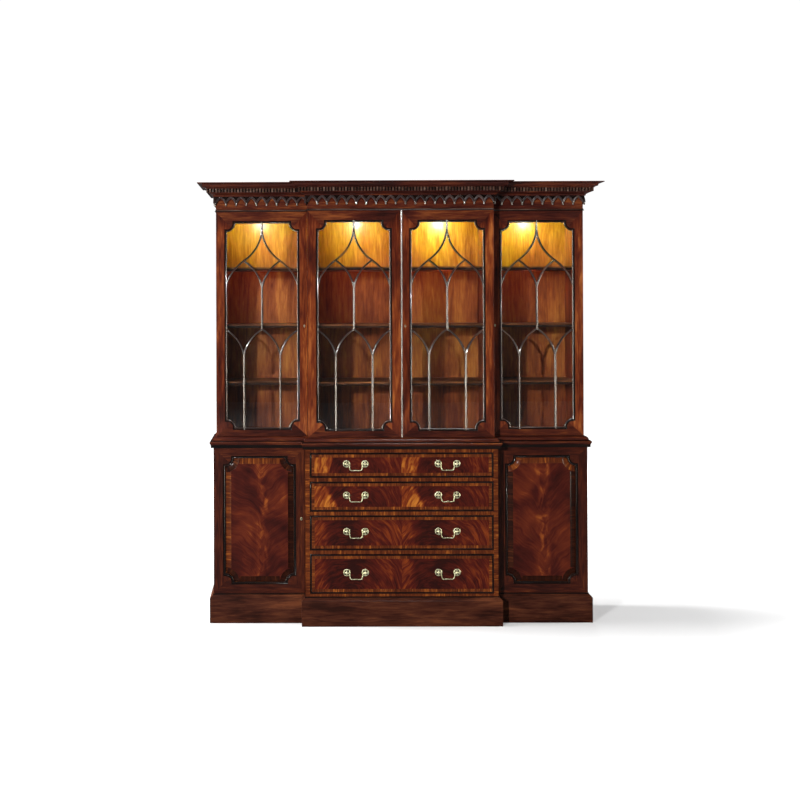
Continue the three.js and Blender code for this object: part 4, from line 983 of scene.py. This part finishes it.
def escutcheonShells(x, front, z, size):
    # A keyhole plate: an oval (0.62 cos t, sin t) with a rim, and on it a keyhole painted black as the hole's shade,
    # round above and a slot below.
    t, a = np.linspace(0, 2 * np.pi, 33)[:-1], np.linspace(-0.9, np.pi + 0.9, 13)
    oval = joined(size * 0.62 * np.cos(t), size * np.sin(t))
    steps = (1.0, -0.2), (1.0, 0.7), (0.9, 1.3), (0.62, 1.3), (0.55, 0.6)
    rings = np.stack([joined(oval[:, 0] * k + x, front - out, oval[:, 1] * k + z) for k, out in steps])
    slot = np.vstack([joined(0.44 * np.cos(a), 0.5 * np.sin(a) + 0.2), [(-0.32, -0.66), (0.32, -0.66)]])
    return [loft(rings, rings), prism(slot * size + (x, z), front - 0.8, front, "z", mat=1)]


displayDoors = {
    "wing_left": (1, -958, case["wingFace"], 475.5, 51.5), "centre_left": (1, -481, case["centreFace"], 480, 56),
    "centre_right": (-1, 481, case["centreFace"], 480, 56), "wing_right": (-1, 958, case["wingFace"], 475.5, 51.5),
}
sightLeaf = {"pinStile": 56, "topRail": 61, "bottomRail": 45, "foot": 966.5, "height": 1172}
# The dark entries list, for each cupboard door, the border strips that take the darker banding as painted shade.
panelLeaf = {
    "pinStile": 61, "topRail": 53, "bottomRail": 57, "foot": 152.5, "height": 754, "edge": 973, "width": 475.5,
    "freeStile": 58.5, "dark": {"left": (0, 1, 2, 3, 4, 6), "right": (1, 2, 3, 4, 5)},
}


def leafSpec(hand, edge, width, freeStile, rails, seed):
    # A leaf's opening lies between its stiles and rails: width less both stiles, and height less both rails.
    sightWidth = width - rails["pinStile"] - freeStile
    sightHeight = rails["height"] - rails["topRail"] - rails["bottomRail"]
    x = edge + hand * (rails["pinStile"] + sightWidth / 2)
    z = rails["foot"] + rails["bottomRail"] + sightHeight / 2
    return {
        "edges": tuple(sorted((edge, edge + hand * width))), "pinEdge": edge, "foot": rails["foot"],
        "height": rails["height"], "sightWidth": sightWidth, "sightHeight": sightHeight, "middle": (x, z), "seed": seed,
    }


# Keyhole plates: how high they stand, how far they are from the leaf's free edge, and half their height.
keyhole = {"display": (1541, 15, 6.5), "meeting": (1541, 22, 6.5), "cupboard": (538, 19, 8.5)}

for seed, (name, (hand, edge, front, width, freeStile)) in enumerate(displayDoors.items()):
    spec = leafSpec(hand, edge, width, freeStile, sightLeaf, seed * 1.7)
    body = f"display_door_{name}"
    wood = frameShells(spec, front) + stickingShells(spec, front)
    if name == "centre_right":
        wood.append(astragalShell(spec, front))
    putMesh(f"leaf_{name}", wood, [stileWood, polished, ebonisedAndShade, deepWood], body, [f"door_frame_{name}"])
    bars = traceryShells(spec, front)
    putMesh(f"bars_{name}", bars, [polished, ebonisedAndShade], body, [f"tracery_{name}"], smooth=50)
    if name != "centre_left":
        level, inset, size = keyhole["meeting" if name == "centre_right" else "display"]
        lock = spec["edges"][1 if hand > 0 else 0] - hand * inset
        putMesh(f"keyhole_{name}", escutcheonShells(lock, front, level, size), [brass, ebonisedAndShade], body)


# Cupboard doors: the panel's raised field is flame veneered, and its sloping border is crossbanded.
panel = {"band": 16.0, "border": 29.0, "bandRise": 3.4, "fieldRise": 10.6, "inset": 0.6}


def panelShells(spec, front, dark):
    # A rebated board, a raised border by the outline at each step's growth and depth, and a flat field.
    seat = front + door["lip"] + case["fit"]
    width, height = spec["sightWidth"], spec["sightHeight"]
    sx, sz = spec["middle"]
    half = (width / 2 + door["rebate"] - 0.3, height / 2 + door["rebate"] - 0.3)
    board = woodBox((sx - half[0], seat, sz - half[1]), (sx + half[0], seat + 8, sz + half[1]), "z", 0, spec["seed"])
    # The crossbanded border rises from the sight edge, and a bolder bevel carries it up to the field.
    inset, border, field = -panel["inset"], -panel["border"], seat - panel["fieldRise"]
    steps = [(inset, seat + 1), (inset, seat - 0.2), (-panel["band"], seat - panel["bandRise"]),
             (border + 1.2, field + 1.0), (border, field + 0.2), (border - 0.9, field), (border - 0.9, seat + 1)]
    rings = np.stack([indentedOutline(width, height, grow) for grow, _ in steps], 1)
    points = joined(rings[..., 0] + sx, np.array([y for _, y in steps]), rings[..., 1] + sz)
    # Crossbanding in eight strips, one for each corner and side. Its grain runs from the opening's edge to the field,
    # so the third part is that distance, and the first goes along the strip: by z or x on a side, by turn on a corner.
    # The strips count clockwise from the upper right corner, and those turned from the light take a darker copy of the
    # banding as painted shade.
    quarter, across, band = len(points) // 4, np.arange(len(steps))[None] * 9.0, []
    for k in range(4):
        corner = points[k * quarter:(k + 1) * quarter]
        straight = points[[(k + 1) * quarter - 1, (k + 1) * quarter % len(points)]]
        around = np.linspace(0, 75, quarter)[:, None] + k * 300.0
        along = straight[..., 2 if k % 2 == 0 else 0] + k * 700.0
        for number, (strip, first) in enumerate(((corner, around), (straight, along))):
            mat = 3 if 2 * k + number in dark else 1
            band.append(loft(strip, joined(first, spec["seed"] * 40, across), mat))
    # The field's face is one flat sheet 0.6 thick.
    face = prism(indentedOutline(width, height, border - 1.0) + (sx, sz), field - 0.5, field + 0.1, "z", 2)
    face["grain"] = joined(face["points"][:, 0] - sx, face["points"][:, 2] - sz, spec["seed"] * 90.0)
    return [board, *band, face]


for seed, (side, hand) in enumerate((("left", 1), ("right", -1))):
    front = case["wingFace"] - case["baseProud"]
    edge, width, freeStile = panelLeaf["edge"], panelLeaf["width"], panelLeaf["freeStile"]
    spec = leafSpec(hand, -hand * edge, width, freeStile, panelLeaf, 8.3 + seed * 1.9)
    body = f"cupboard_leaf_{side}"
    putMesh(f"cupboard_frame_{side}", frameShells(spec, front) + stickingShells(spec, front),
            [shadedBaseWood, paintedShadePolish, ebonisedAndShade, shadedBaseWood], body, [f"cupboard_door_{side}"])
    board = panelShells(spec, front, panelLeaf["dark"][side])
    putMesh(f"fielded_panel_{side}", board, [mahogany, crossband, panelFlame, shadedBand], body,
            [f"cupboard_panel_{side}"])
    if side == "left":
        level, inset, size = keyhole["cupboard"]
        plate = escutcheonShells(spec["edges"][1] - inset, front, level, size)
        putMesh("keyhole_cupboard", plate, [brass, ebonisedAndShade], body)
print("doors made")


# ---- drawers and their frame

chest = {
    "half": 496, "front": -184, "stile": 25, "depth": 22, "topRail": 20, "midRail": 23,
    "heights": (125.5, 151, 176, 200.5), "reveal": 1.5, "frontThickness": 20, "veneer": 0.6, "band": 15,
    "beadWidth": 6, "beadRise": 2, "shadeEdging": 2.2, "boardHalf": 473.7, "board": 12,
    "boardStart": 6, "boardStop": 7.5, "shadeEdgingRise": 0.06, "sideGap": 2, "side": 12, "sideStart": 10,
    "bottom": 8, "bottomStart": 19, "bottomStop": 11, "drop": 16, "rearGap": 15,
    "pull": 236, "boring": 47.5, "pullRise": 7,
}


def drawerOpenings():
    # Each opening's foot and height, from the top rail down with a middle rail between each two.
    top, openings = case["baseTop"] - chest["topRail"], []
    for height in chest["heights"]:
        openings.append((top - height, height))
        top -= height + chest["midRail"]
    return openings


def chestFrame():
    # Two stiles, five rails and three dust boards behind them, with veneer on the front and black edging painted as
    # shade round the openings.
    half, front, shadeEdging = chest["half"], chest["front"], chest["shadeEdging"]
    inner, rear, line = half - chest["stile"], front + chest["depth"], front - chest["shadeEdgingRise"]
    foot, top = case["plinthTop"] + 0.3, case["baseTop"] - 0.3
    shells = []
    for way in (-1, 1):
        left, right = sorted((way * half, way * inner))
        shells.append(woodBox((left, front, foot), (right, rear, top), "x", 1, 3.3 + way))
    edges = [top] + [edge for floor, height in drawerOpenings() for edge in (floor + height, floor)] + [foot]
    for i in range(0, len(edges), 2):
        upper, lower = edges[i], edges[i + 1]
        # The rail's face is crossbanded: a thin sheet whose grain stands upright.
        shells.append(woodBox((-inner, front + chest["veneer"], lower), (inner, rear, upper), "x", 0, i))
        shells.append(woodBox((-inner, front, lower), (inner, front + chest["veneer"], upper), "z", 1, i + 0.4))
        # Black edging painted as shade along each opening, on the rails and then on the stiles.
        for shown, low, high in ((i > 0, upper - shadeEdging, upper), (i + 2 < len(edges), lower, lower + shadeEdging)):
            if shown:
                shells.append(woodBox((-inner, line, low), (inner, front + 1, high), "x", 3, i))
    for floor, height in drawerOpenings():
        for way in (-1, 1):
            left, right = sorted((way * inner, way * (inner + shadeEdging)))
            corners = (left, line, floor - shadeEdging), (right, front + 1, floor + height + shadeEdging)
            shells.append(woodBox(*corners, "z", 3, way))
    for floor, _ in drawerOpenings()[:-1]:
        high, reach = floor + chest["reveal"] - 0.3, chest["boardHalf"]
        start, stop = rear - chest["boardStart"], case["boardRear"] - chest["boardStop"]
        shells.append(woodBox((-reach, start, high - chest["board"]), (reach, stop, high), "x", 2, floor / 100))
    putMesh("chest_frame", shells, [mahogany, crossband, drawerWood, ebonisedAndShade], "case", ["drawer_frame"],
            bevel=0.05, segments=1)


def drawerShells(floor, height, number):
    # A front with its veneers, two sides, a back and a bottom. The box is lower and narrower than the front.
    half, front = chest["half"] - chest["stile"] - chest["reveal"], chest["front"]
    foot, tall = floor + chest["reveal"], height - 2 * chest["reveal"]
    top, boxHalf = foot + tall, half - chest["sideGap"]
    boxRear, boxTop = case["boardRear"] - chest["rearGap"], foot + tall - chest["drop"]
    veneer, bead, band = chest["veneer"], chest["beadWidth"], chest["band"]
    face = front + veneer
    shells = [woodBox((-half, face, foot), (half, front + chest["frontThickness"], top), "x", 0, number)]
    for way in (-1, 1):
        a, b = sorted((way * boxHalf, way * (boxHalf - chest["side"])))
        shells.append(woodBox((a, front + chest["sideStart"], foot), (b, boxRear, boxTop), "y", 3, number + way))
    inside = boxHalf - chest["side"]
    shells.append(woodBox((-inside, boxRear - chest["side"], foot), (inside, boxRear, boxTop), "x", 3, number + 3))
    start, stop = front + chest["bottomStart"], boxRear - chest["bottomStop"]
    shells.append(woodBox((-inside, start, foot), (inside, stop, foot + chest["bottom"]), "y", 3, number + 5))
    # Crossbanding round the front, each sheet with its grain across its length.
    x0, z0, z1 = half - bead, foot + bead, top - bead
    sheets = [((-x0, z1 - band), (x0, z1), "z"), ((-x0, z0), (x0, z0 + band), "z"),
              ((-x0, z0 + band), (-x0 + band, z1 - band), "x"), ((x0 - band, z0 + band), (x0, z1 - band), "x")]
    for i, (a, b, along) in enumerate(sheets):
        shells.append(woodBox((a[0], front, a[1]), (b[0], face + 0.1, b[1]), along, 1, number + i * 0.37))
    for k, (left, right) in enumerate(((-x0 + band, 0), (0, x0 - band))):
        sheet = woodBox((left, front, z0 + band), (right, face + 0.1, z1 - band), "x", 2)
        points = sheet["points"]
        sheet["grain"] = joined(points[:, 0] - left, points[:, 2] - (z0 + band), number * 55.0 + k * 13)
        shells.append(sheet)
    return shells


def cockbeadShell(floor, height, number):
    # A half round carried round the front's edge with mitred corners: ring i is the edge drawn in by its own distance.
    half, front = chest["half"] - chest["stile"] - chest["reveal"], chest["front"]
    foot, tall = floor + chest["reveal"], height - 2 * chest["reveal"]
    wide = chest["beadWidth"]
    section = np.vstack([halfRound((0.0, 0.0), (wide, 0.0), chest["beadRise"], 8), [(wide, 5), (0, 5)]])
    draw = section[:, 0]
    x, low, high = half - draw, foot + draw, foot + tall - draw
    corners = ((-x, low), (x, low), (x, high), (-x, high))
    rings = np.stack([joined(across, front + section[:, 1], z) for across, z in corners])
    return loft(rings, joined(*section.T, np.arange(4)[:, None] * 240.0 + number * 77), loop=True)


# Pulls: a pierced round plate, a turned post and a swan-necked bail.
pull = {
    "plateRadius": 18.5, "scallops": 12, "holeRadius": 4.7, "holeAt": 10.8,
    "bailRadius": 2.3, "drop": 33, "pivotReach": 9.5,
    "share": [0, 0.12, 0.3, 0.36, 0.42, 0.5, 0.58, 0.66, 0.74, 0.8, 0.86, 0.93, 1.0, 1.0],
    "rise": ([0, 0.3, 0.38, 0.5, 0.74, 0.82, 0.9, 1.0], [3.6, 3.4, 2.2, 1.9, 1.7, 2.3, 2.5, 1.3]),
    "post": [(4.6, 1.0), (5.4, 3.4), (4.4, 4.4), (3.9, 6.0), (5.2, 7.4), (6.0, 9.5), (5.4, 12.0), (3.8, 13.8),
             (1.8, 14.8), (0.05, 15.0)],
    "knots": [(0.97, 0.0), (0.84, -0.01), (0.765, -0.1), (0.715, -0.34), (0.69, -0.62), (0.63, -0.9), (0.5, -1.0),
              (0.2, -1.0), (0.0, -0.965)],
}


def rosetteShells(x, z, front):
    # The plate's radius goes up and down by a cosine round its edge, and its face is a shallow dome with a raised rim.
    sides = 96
    angle, share = np.arange(sides) * 2 * np.pi / sides, np.array(pull["share"])
    edge = pull["plateRadius"] * (1 - 0.045 * (1 - np.cos(pull["scallops"] * angle)) / 2)
    radius = share[:, None] * edge[None]
    rise = np.interp(share, *pull["rise"])[:, None] * np.ones((1, sides))
    rise[-1] = -0.2
    # Four pierced eyes, sunk into the plate: the rise falls inside each eye's circle, and a black disc fills it as
    # painted shade in the hole.
    quarters = (np.arange(4) + 0.5) * np.pi / 2
    eyes = pull["holeAt"] * joined(np.cos(quarters), np.sin(quarters))
    t = np.linspace(0, 2 * np.pi, 17)[:-1]
    disc = pull["holeRadius"] * 0.94 * joined(np.cos(t), np.sin(t))
    for eye in eyes:
        far = np.hypot(radius * np.cos(angle) - eye[0], radius * np.sin(angle) - eye[1])
        rise = np.where((far < pull["holeRadius"]) & (rise > 0.3), 0.15, rise)
    radius[0] = 0.01
    rings = joined(x + radius * np.cos(angle), front - rise, z + radius * np.sin(angle))
    discs = [prism(disc + eye + (x, z), front - 0.35, front, "z", 1) for eye in eyes]
    return [loft(rings, rings), lathe(pull["post"], (x, front, z), 20)] + discs


def bailShell(x, y, z, number):
    # The bail's line in front view, its corners cut three times at a quarter of each side, with a round section about
    # it that swells in the middle: radius * (1 + 0.16 exp(-(distance / 9) squared)).
    knots = np.array(pull["knots"]) * (chest["boring"], pull["drop"])
    line = np.vstack([knots, (knots * (-1, 1))[::-1][1:]])
    for _ in range(3):
        cut = np.stack([0.75 * line[:-1] + 0.25 * line[1:], 0.25 * line[:-1] + 0.75 * line[1:]], 1)
        line = np.vstack([line[:1], cut.reshape(-1, 2), line[-1:]])
    length = ringLength(line)
    swell = pull["bailRadius"] * (1 + 0.16 * np.exp(-((length - length[-1] / 2) / 9) ** 2))
    t = np.arange(14) * 2 * np.pi / 14
    place = line[:, None] + pathWays(line)[:, None] * (swell[:, None] * np.cos(t))[..., None]
    rings = joined(place[..., 0] + x, y + swell[:, None] * np.sin(t), place[..., 1] + z)
    return loft(rings, rings + number)


chestFrame()
flames = (upperFlame, secondFlame, lowerFlame, lowerFlame)
for number, (floor, height) in enumerate(drawerOpenings()):
    label = number + 1
    body = f"drawer_box_{label}"
    level = floor + height / 2 + chest["pullRise"]
    woods = [mahogany, crossband, flames[number], drawerWood]
    putMesh(f"drawer_{label}_box", drawerShells(floor, height, label), woods, body, [f"drawer_{label}"],
            bevel=0.25, segments=1)
    putMesh(f"cockbead_{label}", [cockbeadShell(floor, height, number)], [ebonisedAndShade], body)
    plates = []
    for x in (-chest["pull"], chest["pull"]):
        for end in (-chest["boring"], chest["boring"]):
            plates += rosetteShells(x + end, level, chest["front"])
    putMesh(f"rosettes_{label}", plates, [brass, ebonisedAndShade], body, smooth=35)
    for side, x in (("left", -chest["pull"]), ("right", chest["pull"])):
        name, bail = f"pull_{label}_{side}", bailShell(x, chest["front"] - pull["pivotReach"], level, number)
        putMesh(f"{name}_bail", [bail], [brass], name, [f"bail_{label}_{side}"], smooth=60)
print("drawers made")


# ---- display lights under the ceiling

puck = {
    "rim": [(0.05, -10), (25, -10), (26.4, -10.6), (27.2, -13.6), (28.6, -14), (31.5, -13.4), (33.6, -11.4),
            (34, -8.6), (34, 0), (0.05, 0)],
    "bulb": [(0.05, -11.9), (10, -11.7), (18, -11.2), (23, -10.5), (24.9, -10.0), (24.9, -9.6), (0.05, -9.6)],
    "sides": 48,
}
# Each part of a light: its power, its colour, how far behind the puck it stands and how far above.
glow = {
    "wide": (7.0, (1.0, 0.6, 0.0), 0, -26), "core": (17.0, (0.38, 1.0, 0.0), 92, -24),
    "hot": (7.0, (0.1, 0.3, 1.0), 138, -24), "spill": (1.5, (1.0, 0.25, 0.06), -60, -310),
}
bulbRadius, glowShift = 0.02, {"wing_left": -24, "centre_left": 34}

for leaf in leaves:
    low, high = (np.array(corner) * 1000 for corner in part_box(f"light_{leaf}"))
    (x, y), top = (low + high)[:2] / 2, high[2]
    turns = [lathe(puck[part], (x, y, top), puck["sides"], mat, tilt="up") for mat, part in enumerate(("rim", "bulb"))]
    putMesh(f"puck_{leaf}", turns, [brass, lens], "case", [f"light_{leaf}"])
    # The lamp's wide light, its brighter middle and hot core near the back board, and what spills past the top shelf.
    for part, (power, colour, behind, above) in glow.items():
        data = bpy.data.lights.new(f"{part}_{leaf}", "POINT")
        data.energy, data.color, data.shadow_soft_size = power, colour, bulbRadius
        lamp = addObject(data.name, data)
        lamp.location = np.array([x + glowShift.get(leaf, 0), y + behind, top + above]) * 0.001
        lamp.visible_transmission = lamp.visible_glossy = False


# ---- floor, studio lamps, world and camera

def stagePlane(name, corners, material):
    # One flat face of the stage, which isn't part of the object.
    mesh = bpy.data.meshes.new(name)
    mesh.from_pydata(corners, [], [(0, 1, 2, 3)])
    mesh.materials.append(material)
    addObject(name, mesh)


def lifted(tree, mirrored):
    # How bright the stage looks to each kind of ray, as one sum, until the ray has met something dull. What glass shows
    # by its inner reflection counts as mirrored. The light that the stage gives to the object stays its own.
    path = addNode(tree, "LightPath").outputs
    straight = maths(tree, "LESS_THAN", path["Glossy Depth"], 0.5)
    clear = times(tree, path["Is Transmission Ray"], straight)
    total = plus(tree, times(tree, path["Is Glossy Ray"], mirrored), plus(tree, clear, path["Is Camera Ray"]))
    return times(tree, total, maths(tree, "LESS_THAN", path["Diffuse Depth"], 0.5))


stage = {
    "reach": 14.0, "paper": 0.3, "seenPaper": 0.69, "near": 1.6, "far": 3.0, "nearLift": 0.3, "ambient": 0.035,
    "mirrored": 0.05,
}


def floorFinish():
    # White to the camera and to glass, a little less near the object, where the lamps' own light adds the rest and the
    # object's shadow takes it away. The paper is paler to the camera than in the light that it throws back.
    material, tree, shader = newFinish("floorPaper", {"Roughness": 0.9, "Specular IOR Level": 0.0})
    papers = ((stage[key],) * 3 + (1,) for key in ("paper", "seenPaper"))
    feed(tree, shader, {"Base Color": blend(tree, lifted(tree, 0.0), *papers)})
    place = addNode(tree, "TexCoord").outputs["Object"]
    far = addNode(tree, "VectorMath", {0: place}, operation="LENGTH").outputs["Value"]
    level = spread(tree, far, stage["near"], stage["far"], stage["nearLift"], 1.0, "LINEAR")
    strength = times(tree, level, lifted(tree, stage["mirrored"]))
    light = addNode(tree, "Emission", {"Color": (1, 1, 1, 1), "Strength": strength})
    total = addNode(tree, "AddShader", {0: shader.outputs[0], 1: light.outputs[0]})
    feed(tree, tree.nodes["Material Output"], {"Surface": total.outputs[0]})
    return material


corners = [(x * stage["reach"], y * stage["reach"], 0) for x, y in ((-1, -1), (1, -1), (1, 1), (-1, 1))]
stagePlane("floor", corners, floorFinish())

# Each lamp: its place, what it points at, its width and height, its power, whether it shows in polish and glass only,
# and its tint.
lamps = {
    "key": ((-5.5, -10.8, 3.1), (0, 0, 1.4), 0.16, 0.2, 1400),
    "fill": ((3.4, -7.2, 1.9), (0, 0, 1.3), 0.8, 1.6, 36),
    "stripLeft": ((-5.4, -2.0, 1.3), (0, 0, 1.3), 0.7, 3.0, 560, True, (1.0, 0.93, 0.78)),
    "stripRight": ((5.2, -1.8, 1.3), (0, 0, 1.3), 0.6, 3.0, 370, True, (1.0, 0.93, 0.78)),
    "crownTop": ((0.4, -2.6, 4.6), (0, 0, 1.9), 0.8, 0.8, 110, True),
    "sideLeft": ((-4.4, 0.3, 2.0), (-0.9, 0, 1.2), 0.5, 2.4, 45),
    "sideRight": ((4.2, 0.2, 1.5), (0.9, 0, 1.2), 0.5, 2.4, 60),
    "frontTop": ((-0.3, -2.4, 3.9), (0, 0, 1.5), 2.6, 0.5, 12),
    "high": ((-4.5, 0.2, 9.0), (0, 0, 1.0), 2.0, 2.0, 1150),
    "rear": ((1.5, 6.5, 2.2), (0, 0, 1.1), 1.0, 2.0, 150),
}


def softbox(name, place, aim, width, height, power, mirroredOnly=False, tint=(1.0, 1.0, 1.0)):
    # A flat lamp whose back axis points from its aim to its place. Right is up's cross with back, and stays level.
    data = bpy.data.lights.new(name, "AREA")
    data.shape, data.size, data.size_y = "RECTANGLE", width, height
    data.energy, data.color = power, tint
    back = np.array(place, float) - np.array(aim, float)
    back /= np.linalg.norm(back)
    right = np.cross((0, 0, 1), back)
    right /= np.linalg.norm(right)
    lamp = addObject(name, data)
    posed(lamp, right, np.cross(back, right), back, place)
    lamp.visible_camera = lamp.visible_transmission = False
    lamp.visible_diffuse = not mirroredOnly


for name, settings in lamps.items():
    softbox(name, *settings)


def studioWorld():
    # White to the camera, dimmer in mirrors, and a faint light on the object from all round.
    world = bpy.data.worlds.new("studio")
    bpy.context.scene.world = world
    world.use_nodes = True
    tree = world.node_tree
    strength = plus(tree, lifted(tree, stage["mirrored"]), stage["ambient"])
    feed(tree, tree.nodes["Background"], {"Color": (1, 1, 1, 1), "Strength": strength})


studioWorld()
view = {
    "place": (-0.55109, -6.77176, 1.6923), "yaw": -0.0057, "pitch": 0.0053, "roll": -0.0032,
    "focal": 1278.3, "shift": (-113.34, -109.69), "frame": 800, "sensor": 36,
}


def placeCamera():
    # The three axes come from yaw, pitch and roll. Focal length and shift are in pixels of the 800 pixel frame.
    yaw, pitch, roll = view["yaw"], view["pitch"], view["roll"]
    ahead = np.array([math.sin(yaw) * math.cos(pitch), math.cos(yaw) * math.cos(pitch), math.sin(pitch)])
    right = np.array([math.cos(yaw), -math.sin(yaw), 0.0])
    up = np.cross(right, ahead)
    c, s = math.cos(roll), math.sin(roll)
    right, up = c * right + s * up, c * up - s * right
    data = bpy.data.cameras.new("camera")
    data.sensor_width = view["sensor"]
    data.lens = view["focal"] / view["frame"] * view["sensor"]
    data.shift_x = -view["shift"][0] / view["frame"]
    data.shift_y = view["shift"][1] / view["frame"]
    data.clip_end = 100
    camera = addObject("camera", data)
    posed(camera, right, up, -ahead, view["place"])
    bpy.context.scene.camera = camera


placeCamera()
bpy.context.scene.view_settings.view_transform = "Standard"
print("stage, lamps and camera set")
